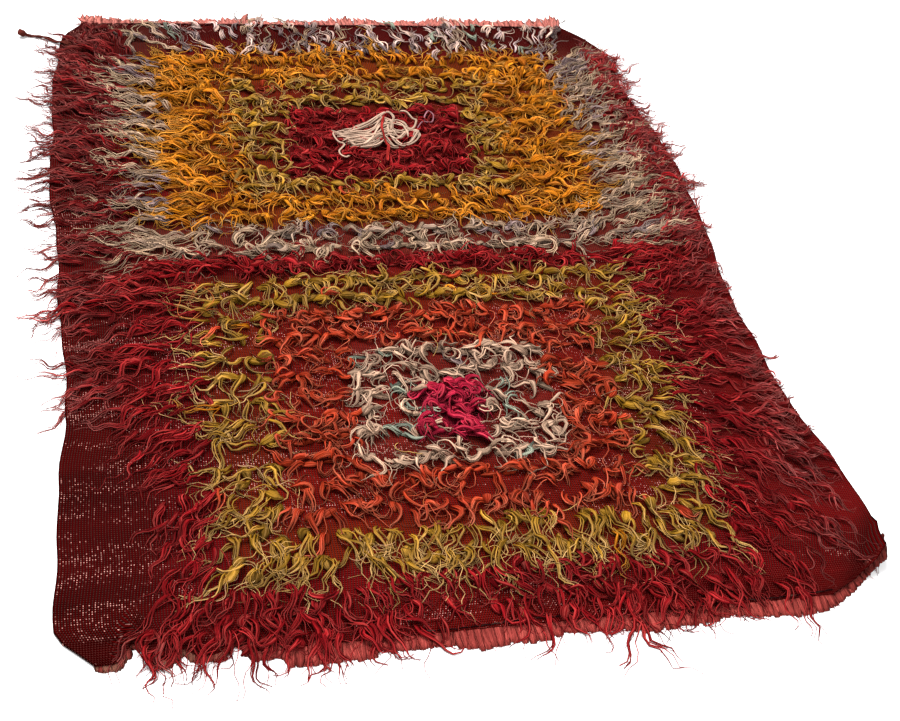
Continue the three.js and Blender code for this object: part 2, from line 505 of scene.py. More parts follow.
def swept_tubes(strands: Strands, sides: int) -> tuple[Array, Array, Array, Array]:
    """Carries a flattened ring along each strand.

    A ring's points lie at the strand's place plus its level side direction times the radius and the
    cosine of the ring's angle, plus its up direction times the radius, the flatness and the sine. The
    grain is the place on a round ring of the strand's full width, and a small part of the way along,
    so that fibres run lengthwise and draw together where the strand narrows.

    Args:
        strands: The strands to sweep.
        sides: Points in a ring.

    Returns:
        Vertex places, the quads between rings, the end caps, and the grain at each vertex.
    """
    count, steps, _ = strands.points.shape
    ahead = np.gradient(strands.points, axis=1)
    ahead /= np.maximum(np.linalg.norm(ahead, axis=2, keepdims=True), 1e-9)
    heading = np.arctan2(ahead[..., 1], ahead[..., 0])
    side = np.stack([-np.sin(heading), np.cos(heading), np.zeros_like(heading)], axis=2)
    up = np.cross(ahead, side)
    angle = np.arange(sides) / sides * FULL_TURN + math.pi / 2
    wide = strands.radii[:, :, None] * np.cos(angle)
    high = strands.radii[:, :, None] * strands.flatness[:, None, None] * np.sin(angle)
    rings = (
        strands.points[:, :, None, :]
        + wide[..., None] * side[:, :, None, :]
        + high[..., None] * up[:, :, None, :]
    )
    index = np.arange(count * steps * sides).reshape(count, steps, sides)
    after = np.roll(index, -1, axis=2)
    quads = np.stack([index[:, :-1], after[:, :-1], after[:, 1:], index[:, 1:]], axis=3)
    caps = np.concatenate([index[:, 0, ::-1], index[:, -1]])
    full = strands.radii.max(axis=1)[:, None, None]
    stride = np.linalg.norm(np.diff(strands.points, axis=1, prepend=strands.points[:, :1]), axis=2)
    run = np.cumsum(stride, axis=1) * FIBRE_STRETCH + np.arange(count)[:, None] * FIBRE_OFFSET
    grain = np.stack(np.broadcast_arrays(full * np.cos(angle), full * np.sin(angle), run[..., None]), axis=3)
    return rings.reshape(-1, 3), quads.reshape(-1, 4), caps, grain.reshape(-1, 3)


def cell_map(count: int, steps: int, sides: int) -> Array:
    """Gives each strand its own cell of the unit square: around it to the right, along it upwards.

    Args:
        count: Strands in the piece.
        steps: Rings on each.
        sides: Points in a ring.

    Returns:
        A place on the map for each corner of the quads, then of the caps.
    """
    columns = math.ceil(math.sqrt(count))
    margin = CELL_MARGIN / columns
    size = 1.0 / columns - 2.0 * margin
    cell = np.arange(count)
    corner = np.stack([cell % columns, cell // columns], axis=1) / columns + margin
    step, side = np.meshgrid(np.arange(steps - 1), np.arange(sides), indexing="ij")
    loop = np.stack([
        np.stack([side, side + 1, side + 1, side], axis=2) / sides,
        np.stack([step, step, step + 1, step + 1], axis=2) / (steps - 1),
    ], axis=3)
    quads = corner[:, None, None, None, :] + loop[None] * size
    ring = np.arange(sides)
    rim = np.stack([ring / sides * size, (ring % 2 - 1.0) * margin * CAP_DEPTH], axis=1)
    low = corner[:, None, :] + rim
    high = corner[:, None, :] + rim + np.array([0.0, size + margin * CAP_DEPTH])
    return np.concatenate([quads.reshape(-1, 2), low.reshape(-1, 2), high.reshape(-1, 2)])


def make_piece(
    name: str, places: Array, faces: list[Array], uv: Array, point_colours: Array, grain: Array,
    material: bpy.types.Material,
) -> bpy.types.Object:
    """Puts arrays into a mesh object that rides on the rug's body.

    Args:
        name: The piece's name.
        places: Vertex places in millimetres.
        faces: Arrays of vertex indices, each of one face size.
        uv: A place on the piece's map for every face corner.
        point_colours: Linear colour of each vertex.
        grain: Three numbers at each vertex that place the fibres of wool or the threads of cloth.
        material: The piece's finish.

    Returns:
        The new object.
    """
    mesh = bpy.data.meshes.new(name)
    corners = np.concatenate([f.reshape(-1) for f in faces]).astype(np.int32)
    sizes = np.concatenate([np.full(len(f), f.shape[1], np.int32) for f in faces])
    starts = np.concatenate([[0], np.cumsum(sizes)[:-1]]).astype(np.int32)
    mesh.vertices.add(len(places))
    mesh.vertices.foreach_set("co", (places * MM).astype(np.float32).reshape(-1))
    mesh.loops.add(len(corners))
    mesh.loops.foreach_set("vertex_index", corners)
    mesh.polygons.add(len(starts))
    mesh.polygons.foreach_set("loop_start", starts)
    mesh.polygons.foreach_set("use_smooth", np.ones(len(starts), bool))
    layer = mesh.uv_layers.new(name=BAKE_MAP)
    layer.data.foreach_set("uv", uv.astype(np.float32).reshape(-1))
    tint = mesh.attributes.new("tint", "FLOAT_COLOR", "POINT")
    rgba = np.concatenate([point_colours, np.ones((len(places), 1))], axis=1)
    tint.data.foreach_set("color", rgba.astype(np.float32).reshape(-1))
    threads = mesh.attributes.new("grain", "FLOAT_VECTOR", "POINT")
    threads.data.foreach_set("vector", grain.astype(np.float32).reshape(-1))
    mesh.update(calc_edges=True)
    mesh.materials.append(material)
    piece = bpy.data.objects.new(name, mesh)
    bpy.context.scene.collection.objects.link(piece)
    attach(piece, BODY)
    log.info("%s: %d triangles", name, int(np.sum(sizes - 2)))
    return piece


def strand_piece(
    name: str, strands: list[tuple[Strands, int]], material: bpy.types.Material
) -> bpy.types.Object:
    """Joins groups of swept strands into one piece, each group in its own part of the map.

    Args:
        name: The piece's name.
        strands: Groups of strands, each with the sides of its rings.
        material: The piece's finish.

    Returns:
        The new object.
    """
    places, quads, caps, uv_quads, uv_caps, colours, grains = [], [], [], [], [], [], []
    base = 0
    for slot, (group, sides) in enumerate(strands):
        count, steps, _ = group.points.shape
        verts, q, c, grain = swept_tubes(group, sides)
        uv = cell_map(count, steps, sides)
        uv[:, 0] = (uv[:, 0] + slot) / len(strands)
        places.append(verts)
        quads.append(q + base)
        caps.append(c + base)
        uv_quads.append(uv[: q.size])
        uv_caps.append(uv[q.size:])
        colours.append(np.repeat(group.colours.reshape(-1, 3), sides, axis=0))
        grains.append(grain)
        base += len(verts)
    return make_piece(
        name,
        np.concatenate(places),
        [np.concatenate(quads), *caps],
        np.concatenate(uv_quads + uv_caps),
        np.concatenate(colours),
        np.concatenate(grains),
        material,
    )


class Socket:
    """A shader value: operators on it add Math nodes."""

    def __init__(self, desk: "NodeDesk", socket: bpy.types.NodeSocket) -> None:
        """Keeps the socket and the material it belongs to."""
        self.desk = desk
        self.socket = socket

    def _math(self, operation: str, first: Any, second: Any) -> "Socket":
        """Adds one Math node on two values."""
        return self.desk.node("ShaderNodeMath", {"operation": operation}, {0: first, 1: second})

    def __add__(self, other: Any) -> "Socket":
        """Sum."""
        return self._math("ADD", self, other)

    __radd__ = __add__

    def __mul__(self, other: Any) -> "Socket":
        """Product."""
        return self._math("MULTIPLY", self, other)

    __rmul__ = __mul__

    def __sub__(self, other: Any) -> "Socket":
        """Difference."""
        return self._math("SUBTRACT", self, other)

    def __rsub__(self, other: Any) -> "Socket":
        """Difference from a number."""
        return self._math("SUBTRACT", other, self)

    def over(self, limit: Any) -> "Socket":
        """1 where the value is over a limit and 0 elsewhere."""
        return self._math("GREATER_THAN", self, limit)

    def least(self, other: Any) -> "Socket":
        """The lesser of two values."""
        return self._math("MINIMUM", self, other)

    def most(self, other: Any) -> "Socket":
        """The greater of two values."""
        return self._math("MAXIMUM", self, other)

    def whole(self) -> "Socket":
        """The value rounded down."""
        return self.desk.node("ShaderNodeMath", {"operation": "FLOOR"}, {0: self})

    def wave(self) -> "Socket":
        """A wave of the value: 0 at whole numbers and 1 midway between them."""
        return self._math("PINGPONG", self, 0.5) * 2.0


class NodeDesk:
    """Builds one node material."""

    def __init__(self, name: str) -> None:
        """Starts an empty material of that name."""
        self.material = bpy.data.materials.new(name)
        self.material.use_nodes = True
        self.tree = self.material.node_tree
        self.tree.nodes.clear()

    def placed(self, kind: str, settings: dict[str, Any], sockets: dict[Any, Any]) -> bpy.types.Node:
        """Adds a node.

        Args:
            kind: The node's type.
            settings: Its properties, set first.
            sockets: Values or links of its inputs, by name or number.

        Returns:
            The node.
        """
        made = self.tree.nodes.new(kind)
        for key, value in settings.items():
            setattr(made, key, value)
        for key, value in sockets.items():
            if isinstance(value, Socket):
                self.tree.links.new(value.socket, made.inputs[key])
            else:
                made.inputs[key].default_value = value
        return made

    def node(self, kind: str, settings: dict[str, Any], sockets: dict[Any, Any], output: Any = 0) -> Socket:
        """Adds a node and hands back one of its outputs, by name or number."""
        return Socket(self, self.placed(kind, settings, sockets).outputs[output])

    def attribute(self, name: str, output: str) -> Socket:
        """Reads what the piece's mesh holds under that name."""
        return self.node("ShaderNodeAttribute", {"attribute_name": name}, {}, output)

    def grey(self, bright: Socket) -> Socket:
        """A colour of equal red, green and blue."""
        return self.node("ShaderNodeCombineColor", {}, {0: bright, 1: bright, 2: bright})

    def relief(self, height: Socket, strength: float, depth: float) -> Socket:
        """A normal bent by a height; the depth is in metres."""
        return self.node("ShaderNodeBump", {}, {"Strength": strength, "Distance": depth, "Height": height})

    def noise(
        self, scale: float, detail: float = 2.0, stretch: tuple[float, float, float] = (1, 1, 1)
    ) -> Socket:
        """A cloudy value on the object's own place, finer as the scale grows."""
        place = self.node("ShaderNodeTexCoord", {}, {}, "Object")
        turned = self.node("ShaderNodeMapping", {}, {"Vector": place, "Scale": stretch})
        return self.node("ShaderNodeTexNoise", {}, {"Vector": turned, "Scale": scale, "Detail": detail})

    def mix(self, share: Any, first: Any, second: Any, blend: str = "MIX") -> Socket:
        """Blends two colours: of the Mix node's sockets, those numbered here are its colour ones."""
        settings = {"data_type": "RGBA", "blend_type": blend}
        return self.node("ShaderNodeMix", settings, {0: share, 6: first, 7: second}, 2)

    def finish(self, **sockets: Any) -> bpy.types.Material:
        """Ends the material with a Principled shader that has the given sockets."""
        named = {key.replace("_", " "): value for key, value in sockets.items()}
        shader = self.node("ShaderNodeBsdfPrincipled", {}, named)
        self.placed("ShaderNodeOutputMaterial", {}, {"Surface": shader})
        return self.material


@dataclass(frozen=True)
class WoolFinish:
    """Matt wool that takes its colour from the piece, with fibre mottle, painted shade and sheen, and bump.

    Attributes:
        name: The material's name.
        mottle: How strongly the fibres vary in brightness, in tone and as painted shade between them.
        fibre_scale: How fine they are.
        bump: Strength of the fibres' relief.
        bump_depth: Its depth, in metres.
        middle: Brightness of a middling fibre.
        darkest: Brightness that no fibre falls below; the darkest are painted shade between fibres.
        lightest: Brightness that none passes.
        cloud_scale: How fine the broad mottle is.
        cloud: How far it brightens the wool.
        painted_sheen: How far the lightest fibres turn pale, as a painted sheen.
        painted_sheen_start: Brightness that they do so from.
        pale: Colour of that painted sheen.
    """

    name: str
    mottle: float = 4.0
    fibre_scale: float = 0.36
    bump: float = 0.8
    bump_depth: float = 0.004
    middle: float = 0.8
    darkest: float = 0.38
    lightest: float = 1.3
    cloud_scale: float = 30.0
    cloud: float = 0.4
    painted_sheen: float = 0.1
    painted_sheen_start: float = 0.9
    pale: Colour = (232, 200, 172)

    def material(self) -> bpy.types.Material:
        """Builds the node material: tint times fibre streaks with painted shade between, and a broad mottle.

        Returns:
            The material.
        """
        desk = NodeDesk(self.name)
        grain = desk.attribute("grain", "Vector")
        along_grain = {"Vector": grain, "Scale": self.fibre_scale, "Detail": 2.0, "Roughness": 0.6}
        fibre = desk.node("ShaderNodeTexNoise", {}, along_grain)
        # Fibre streaks: tone of the fibres, with painted shade in the dark gaps between them.
        streak = ((fibre - 0.5) * self.mottle + self.middle).most(self.darkest).least(self.lightest)
        bright = streak * (desk.noise(self.cloud_scale) * self.cloud + (1.0 - self.cloud / 2))
        colour = desk.mix(1.0, desk.attribute("tint", "Color"), desk.grey(bright), "MULTIPLY")
        # Painted sheen: the lightest fibres are mixed towards a pale colour.
        bleach_and_sheen = (streak - self.painted_sheen_start).most(0.0) * self.painted_sheen
        colour = desk.mix(bleach_and_sheen, colour, (*linear(self.pale), 1.0))
        return desk.finish(
            Base_Color=colour, Roughness=0.9, Specular_IOR_Level=0.02,
            Normal=desk.relief(fibre, self.bump, self.bump_depth),
        )


@dataclass(frozen=True)
class WeaveFinish:
    """Coarse maroon weave with pale specks where the warp shows through.

    Attributes:
        name: The material's name.
        painted_groove_shade: Share of the cloth's colour that is left between the ribs, as painted shade.
        speck: Colour of the bare warp.
        pick_light: How much the picks raise the cloth and, as a painted highlight, brighten it, over the
            ribs.
        painted_wrinkles: How much the clouds brighten it; their dark streaks along the weft are painted
            shade.
        fibre_light: How much the fibres do.
        light_start: The sum of these that the brightness is counted from.
        chance_odds: How much chance adds to the odds of a speck.
        cloud_odds: How much the clouds do.
        wear_odds: How much wear does.
        odds_start: The odds that specks begin to show at.
        odds_gain: How quickly they whiten past it.
        faintest: Share of the warp's colour in every crossing.
        palest: Share of it in the whitest speck.
        rib_gap: Height of the wave between ribs that a speck lies over.
        pick_top: Height of a pick's wave that it lies over.
    """

    name: str
    painted_groove_shade: float = 0.14
    speck: Colour = (236, 168, 156)
    pick_light: float = 0.3
    painted_wrinkles: float = 1.2
    fibre_light: float = 0.9
    light_start: float = 1.2
    chance_odds: float = 1.1
    cloud_odds: float = 3.0
    wear_odds: float = 0.6
    odds_start: float = 2.8
    odds_gain: float = 1.9
    faintest: float = 0.06
    palest: float = 0.9
    rib_gap: float = 0.7
    pick_top: float = 0.55

    def material(self) -> bpy.types.Material:
        """Builds the node material.

        Ribs and picks are waves of their counts; painted highlight lightens their tops and painted shade
        darkens the grooves and the streaks of a broad cloud. A speck is the middle of one crossing, drawn by
        chance; more are drawn where the cloth is worn and where a cloud, drawn out along the weft, is light.

        Returns:
            The material.
        """
        desk = NodeDesk(self.name)
        grain = desk.attribute("grain", "Vector")
        ribs, picks, wear = (desk.node("ShaderNodeSeparateXYZ", {}, {0: grain}, axis) for axis in range(3))
        ridge = ribs.wave()
        bar = picks.wave()
        fibre = desk.noise(scale=700.0, detail=3.0)
        cloud = desk.noise(scale=9.0, detail=4.0, stretch=(0.5, 2.0, 1.0))
        weave = ridge + bar * self.pick_light
        # Painted light: rib and pick tops lighter, grooves and wrinkle streaks darker as painted shade.
        bright = weave + cloud * self.painted_wrinkles + fibre * self.fibre_light - self.light_start
        bright = bright.most(0.0) * (1.0 - self.painted_groove_shade) + self.painted_groove_shade
        cloth = desk.mix(1.0, desk.attribute("tint", "Color"), desk.grey(bright), "MULTIPLY")
        crossing = desk.node("ShaderNodeCombineXYZ", {}, {0: (ribs + 0.5).whole(), 1: picks.whole()})
        chance = desk.node("ShaderNodeTexWhiteNoise", {"noise_dimensions": "2D"}, {"Vector": crossing})
        thin = desk.noise(scale=19.0, detail=3.0, stretch=(0.45, 2.1, 1.0))
        odds = chance * self.chance_odds + thin * self.cloud_odds + wear * self.wear_odds
        drawn = ((odds - self.odds_start) * self.odds_gain).most(self.faintest).least(self.palest)
        middle = (1.0 - ridge).over(self.rib_gap).least(bar.over(self.pick_top))
        colour = desk.mix(drawn * middle, cloth, (*linear(self.speck), 1.0))
        return desk.finish(
            Base_Color=colour, Roughness=0.95, Specular_IOR_Level=0.0,
            Normal=desk.relief(weave + fibre * 0.4, strength=1.0, depth=0.002),
        )


@dataclass(frozen=True)
class MapPart:
    """A rectangle of a piece's map: its lower left corner and its size."""

    corner: tuple[float, float]
    size: tuple[float, float]

    def place(self, shares: Array) -> Array:
        """Where shares of its width and height lie on the map."""
        return shares * self.size + self.corner


# The sheet's map: its top, its rim and its underside, and the share of the rim's cells that is used.
TOP_MAP = MapPart((0.01, 0.01), (0.75, 0.98))
RIM_MAP = MapPart((0.77, 0.01), (0.01, 0.98))
UNDER_MAP = MapPart((0.79, 0.01), (0.2, 0.98))
RIM_CELL = 0.9


@dataclass
class Ground:
    """The woven ground: a thin sheet over the rug's outline.

    Attributes:
        plan: The rug's outline.
        columns: Grid steps across.
        rows: Grid steps along.
        ribs: Warp ribs across the rug.
        picks: Picks of weft along it.
        thickness: Of the cloth.
        roll: Height of the rolled selvedge.
        roll_width: How far from the edge the roll starts and how far in it ends.
        ripple: How far the cloth stands off the floor where it ripples.
        crowding: How much closer the grid's columns stand at the edges, as an angle.
        bare_left: Where the bare cloth at the left darkens, by the distance to the left.
        bare_far: Where that at the far end does.
        warm_across: Where the warm cloth fades, by the distance in from its side.
        warm_half: How far from the middle line its side lies.
        warm_along: Where it fades towards the far medallion, by the distance back.
        cloth: Its usual colour.
        warm: Its colour in the near medallion.
        dark: Its colour where it lies bare at the left.
        painted_root_shade: Brightness of the pile's felted roots over that of the locks, painted shade under
            the pile.
        fold_shade_width: How far the painted shade in the corner's fold spreads.
        fold_shade_strength: How much darker that painted shade makes the cloth.
    """

    plan: RugPlan
    columns: int = 100
    rows: int = 80
    ribs: int = 310
    picks: int = 430
    thickness: float = 3.0
    roll: float = 1.8
    roll_width: tuple[float, float] = (3.0, 12.0)
    ripple: float = 1.6
    crowding: float = math.pi / 2.4
    bare_left: Ramp = Ramp(330, 470)
    bare_far: Ramp = Ramp(610, 680)
    warm_across: Ramp = Ramp(0, 60)
    warm_half: float = 300
    warm_along: Ramp = Ramp(-80, -20)
    cloth: Colour = (102, 8, 9)
    warm: Colour = (110, 12, 9)
    dark: Colour = (69, 5, 5)
    painted_root_shade: float = 0.42
    fold_shade_width: float = 18.0
    fold_shade_strength: float = 0.55

    def surface(self) -> tuple[Array, Array, Array, Array]:
        """Works out the sheet.

        Across runs from the left edge to the right at each distance along, closer near the edges, and
        both edges sway a little. The near half of along is drawn in from the torn near end. The
        underside is the corner's lift plus a sum of slow sines, and the top adds the thickness and a
        roll at the two selvedges.

        Returns:
            Grids of the shares across and along, of across, of along, and of the two heights.
        """
        even = np.linspace(-1, 1, self.columns + 1)
        share = 0.5 + 0.5 * np.sin(even * self.crowding) / math.sin(self.crowding)
        u, v = np.meshgrid(share, np.linspace(0, 1, self.rows + 1), indexing="ij")
        evenly = self.plan.near + v * (self.plan.far - self.plan.near)
        left, right = self.plan.edges(evenly)
        start = self.plan.near_edge(left + u * (right - left))
        middle = (self.plan.near + self.plan.far) / 2.0
        along = np.where(v < 0.5, start + 2.0 * v * (middle - start), evenly)
        sway = 2.5 * np.sin(along / 47.0) + 1.5 * np.sin(along / 19.0 + 1.0)
        across = left + u * (right - left) + sway * np.abs(2.0 * u - 1.0)
        slow = np.sin(across / 83.0 + along / 140.0) + np.sin(across / 51.0 - along / 67.0)
        low = self.plan.lift(across, along) + self.ripple * (slow + 2.0) / 4.0
        edge = np.minimum(u, 1.0 - u) * (right - left)
        high = low + self.thickness + self.roll * (1.0 - smooth(edge, *self.roll_width))
        return np.stack([u, v]), across, along, np.stack([low, high])

    @staticmethod
    def closed_faces(columns: int, rows: int, flat: Array) -> tuple[Array, Array]:
        """Faces of a closed sheet whose underside's vertices come first.

        Args:
            columns: Vertices across.
            rows: Vertices along.
            flat: Shares across and along of each vertex.

        Returns:
            The top's, underside's and rim's faces, and a place on the map for each of their corners.
        """
        index = np.arange(columns * rows).reshape(columns, rows)
        cells = np.stack([index[:-1, :-1], index[1:, :-1], index[1:, 1:], index[:-1, 1:]], axis=2)
        cells = cells.reshape(-1, 4)
        back = cells[:, ::-1]
        shift = columns * rows
        rim = np.concatenate([index[:-1, 0], index[-1, :-1], index[:0:-1, -1], index[0, :0:-1]])
        ahead = np.roll(rim, -1)
        walls = np.stack([rim, ahead, ahead + shift, rim + shift], axis=1)
        up_rim = np.array([0, 0, 1, 1])
        along_rim = (np.arange(len(rim))[:, None] + RIM_CELL * np.array([0, 1, 1, 0])) / len(rim)
        rim_shares = np.stack(np.broadcast_arrays(up_rim, along_rim), axis=2)
        places = [TOP_MAP.place(flat[cells]), UNDER_MAP.place(flat[back]), RIM_MAP.place(rim_shares)]
        return np.concatenate([cells + shift, back, walls]), np.concatenate(places).reshape(-1, 2)

    def build(self, material: bpy.types.Material) -> bpy.types.Object:
        """Makes the closed sheet.

        Args:
            material: The weave.

        Returns:
            The ground piece.
        """
        shares, across, along, heights = self.surface()
        columns, rows = across.shape
        under = np.stack([across, along, heights[0]], axis=2).reshape(-1, 3)
        over = np.stack([across, along, heights[1]], axis=2).reshape(-1, 3)
        faces, uv = self.closed_faces(columns, rows, shares.reshape(2, -1).T)
        wear = self.plan.wear(across, along)
        pick = self.picks * (along - self.plan.near) / (self.plan.far - self.plan.near)
        grain = np.stack([shares[0] * self.ribs, pick, wear], axis=2).reshape(-1, 3)
        tint = self.tint(across, along).reshape(-1, 3)
        return make_piece(
            "woven_ground", np.concatenate([under, over]), [faces], uv, np.tile(tint, (2, 1)),
            np.tile(grain, (2, 1)), material,
        )

    def tint(self, across: Array, along: Array) -> Array:
        """Colour of the cloth.

        It is dark where it lies bare, at the left and the far end, and warm in the near medallion;
        painted shade darkens it in the corner's fold. The felted roots of the pile, in their wool darkened
        by painted shade, hide a share of it.

        Args:
            across: Places across the rug.
            along: Places along it.

        Returns:
            Linear colours.
        """
        bare = np.maximum(self.bare_left.at(-across), self.bare_far.at(along))[..., None]
        warm = self.warm_across.at(self.warm_half - np.abs(across)) * self.warm_along.at(-along)
        warm = warm[..., None]
        cloth = linear(self.cloth) * (1 - warm) + linear(self.warm) * warm
        cloth = cloth * (1 - bare) + linear(self.dark) * bare
        # Painted shade in the corner's fold.
        fold_shade = np.exp(-((self.plan.past_fold(across, along) / self.fold_shade_width) ** 2))
        cloth = cloth * (1 - self.fold_shade_strength * fold_shade)[..., None]
        wool = dye_at(across, along)
        # The roots are their wool's body darkened as painted shade under the pile.
        roots = wool_colours("body", wool) * self.painted_root_shade
        hidden = wool_values(WOOLS, "felt", wool) * self.plan.pile_share(across, along)
        return cloth * (1 - hidden[..., None]) + roots * hidden[..., None]


@dataclass
class HeightMap:
    """How high the pile already lies over each small cell of the rug.

    Attributes:
        plan: The rug's outline.
        cell: Size of a cell.
        reach: Half-size of the mapped square.
        start: Height of the bare ground.
    """

    plan: RugPlan
    cell: float = 4.0
    reach: float = 900.0
    start: float = 4.0
    heights: Array = field(init=False)

    def __post_init__(self) -> None:
        """Fills the map with the bare ground inside the outline and the floor outside it."""
        centres = np.arange(-self.reach, self.reach, self.cell) + self.cell / 2
        across, along = np.meshgrid(centres, centres, indexing="ij")
        left, right = self.plan.edges(along)
        inside = (across > left) & (across < right) & (along > self.plan.near) & (along < self.plan.far)
        self.heights = np.where(inside, self.start + self.plan.lift(across, along), 0.0)

    def _cells(self, points: Array) -> tuple[Array, Array]:
        """The cell that holds each point."""
        cells = ((points[..., :2] + self.reach) / self.cell).astype(int)
        cells = np.clip(cells, 1, self.heights.shape[0] - 2)
        return cells[..., 0], cells[..., 1]

    def under(self, points: Array) -> Array:
        """How high the pile lies under each point."""
        return self.heights[self._cells(points)]

    def lay(self, points: Array, tops: Array) -> None:
        """Raises the cells under the points, and those beside them, to the given tops."""
        i, j = self._cells(points)
        for di, dj in ((0, 0), (1, 0), (-1, 0), (0, 1), (0, -1)):
            np.maximum.at(self.heights, (i + di, j + dj), tops)


def eased(heights: Array, rounds: int) -> Array:
    """Evens out heights along each strand: each becomes a quarter, half and quarter of its run."""
    for _ in range(rounds):
        inner = 0.25 * heights[:, :-2] + 0.5 * heights[:, 1:-1] + 0.25 * heights[:, 2:]
        heights = np.concatenate([heights[:, :1], inner, heights[:, -1:]], axis=1)
    return heights


@dataclass
class Knots:
    """The knots of the pile, one entry each.

    Attributes:
        across: Place of the root across the rug.
        along: Place of the root along it.
        heading: The way the lock leaves its knot, in radians.
        length: Length of the lock.
        comb: From 0, curling, to 1, combed straight.
        dye: Number of its wool in the Dye list.
        bulk: Thickness of its strands over the usual; those over 1 keep together.
    """

    across: Array
    along: Array
    heading: Array
    length: Array
    comb: Array
    dye: Array
    bulk: Array

    def sorted_by(self, key: Array) -> "Knots":
        """The same knots in the order of a key."""
        order = np.argsort(key)
        return Knots(*(getattr(self, name)[order] for name in self.__dataclass_fields__))

    def joined(self, other: "Knots") -> "Knots":
        """These knots followed by others."""
        return Knots(
            *(np.concatenate([getattr(self, n), getattr(other, n)]) for n in self.__dataclass_fields__)
        )


@dataclass(frozen=True)
class PlacedLock:
    """A listed lock that the eye picks out; its heading is in degrees."""

    dye: Dye
    across: float
    along: float
    heading: float
    length: float
    bulk: float = 1.0


PLACED_COMB = 0.85
PLACED_LOCKS = (
    PlacedLock(Dye.WINE, -560, 352, 172, 118, 1.3),
    PlacedLock(Dye.WINE, -560, 330, 178, 104, 1.3),
    PlacedLock(Dye.WINE, -562, 258, 171, 116, 1.3),
    PlacedLock(Dye.WINE, -545, 30, 176, 112, 1.3),
    PlacedLock(Dye.WINE, -545, -84, 206, 112, 1.3),
    PlacedLock(Dye.WINE, -545, -60, 212, 100, 1.3),
    PlacedLock(Dye.WINE, 525, 530, 24, 70),
    PlacedLock(Dye.WINE, 540, 372, 18, 66),
    PlacedLock(Dye.WINE, 560, 252, 12, 54),
    PlacedLock(Dye.WINE, 545, -272, -4, 72, 1.5),
    PlacedLock(Dye.WINE, 540, -336, 12, 74, 1.4),
    PlacedLock(Dye.WINE, 545, -374, 6, 66, 1.4),
    PlacedLock(Dye.WINE, 560, -440, 10, 62, 1.4),
    PlacedLock(Dye.WINE, -450, -696, -96, 92, 1.5),
    PlacedLock(Dye.CRIMSON, -235, -713, -88, 104, 1.7),
    PlacedLock(Dye.CRIMSON, -245, -700, -86, 96, 1.7),
    PlacedLock(Dye.CRIMSON, -180, -713, -98, 80, 1.7),
    PlacedLock(Dye.CRIMSON, -160, -713, -92, 76, 1.7),
    PlacedLock(Dye.CRIMSON, 190, -713, -86, 146, 1.7),
    PlacedLock(Dye.CRIMSON, 196, -705, -88, 132, 1.7),
    PlacedLock(Dye.CRIMSON, 245, -713, -96, 80, 1.7),
    PlacedLock(Dye.CRIMSON, 318, -713, -92, 84, 1.7),
    PlacedLock(Dye.GOLD, -60, 632, 92, 88),
    PlacedLock(Dye.GOLD, -48, 640, 84, 80),
    PlacedLock(Dye.GOLD, -70, 636, 98, 84),
    PlacedLock(Dye.TEAL, -70, -285, -20, 62),
    PlacedLock(Dye.TEAL, -62, -318, -50, 60),
    PlacedLock(Dye.TEAL, 110, -280, -110, 62),
    PlacedLock(Dye.TEAL, 122, -318, -150, 58),
    PlacedLock(Dye.TEAL, 100, -340, -80, 60),
)


def placed_knots() -> Knots:
    """The knots of the listed locks."""
    across, along, heading, length, bulk = np.array(
        [(lock.across, lock.along, lock.heading, lock.length, lock.bulk) for lock in PLACED_LOCKS], float
    ).T
    dye = np.array([list(Dye).index(lock.dye) for lock in PLACED_LOCKS])
    return Knots(across, along, np.radians(heading), length, np.full(across.size, PLACED_COMB), dye, bulk)


# Rounds that the pile under a strand is evened out in, and the least gap between it and the floor.
LAY_ROUNDS = 2
FLOOR_GAP = 0.2
# Shares of a strand's half-height and arch by which it raises the pile for the next.
PRESSED_HALF = 0.5
PRESSED_RISE = 0.3


@dataclass
class Laying:
    """Felted mats, or strands, on their way to being laid down.

    Attributes:
        owner: The knot that each belongs to.
        way: Share of the lock's length at each step.
        plan: Places on the plan, by strand, step and axis.
        radii: Half-width at each step.
        flatness: Height of each one's section over its width.
        rise: How far each step arches above what it rests on.
        wisp: True for the thin pale strands.
        broad: True for the broad ones.
        z: Height of each step, once it is laid.
    """

    owner: Array
    way: Array
    plan: Array
    radii: Array
    flatness: Array
    rise: Array
    wisp: Array
    broad: Array
    z: Array = field(init=False)

    def __post_init__(self) -> None:
        """Starts with everything on the floor."""
        self.z = np.zeros(self.radii.shape)

    def lay(self, pile: HeightMap, chosen: Array) -> None:
        """Lays the chosen ones on the pile, which is raised.

        Each rests its half-height above what is under it, plus its arch. The next ones press it down
        a little.

        Args:
            pile: The map of what lies there already.
            chosen: Which ones are laid now.
        """
        points = self.plan[chosen]
        half = self.radii[chosen] * self.flatness[chosen][:, None]
        rest = eased(pile.under(points), LAY_ROUNDS) + half
        self.z[chosen] = np.maximum(rest + self.rise[chosen], half + FLOOR_GAP)
        pile.lay(points, rest + PRESSED_HALF * half + PRESSED_RISE * self.rise[chosen])

    def strands(self, colours: Array) -> Strands:
        """The laid strands in their colours."""
        return Strands(np.dstack([self.plan, self.z]), self.radii, self.flatness, colours)


@dataclass
class Growth:
    """The finished pile: its knots, its mats and strands, the knots they belong to, and which are broad."""

    knots: Knots
    mats: Strands
    mat_owner: Array
    strands: Strands
    owner: Array
    broad: Array


@dataclass(frozen=True)
class Taper:
    """How a strand's width changes: it swells out of its root and narrows as a power of what is left.

    Attributes:
        power: Of the share of the length that is left.
        least: Share of the width that the tip keeps.
        root: Share of the width at the root.
        swell: Share that it gains from there.
        until: Share of the length that it gains it over.
    """

    power: float
    least: float
    root: float
    swell: float
    until: float

    def at(self, way: Array) -> Array:
        """Share of the full width at shares of the length."""
        narrowing = np.maximum((1.0 - way) ** self.power, self.least)
        return narrowing * (self.root + self.swell * smooth(way, 0.0, self.until))


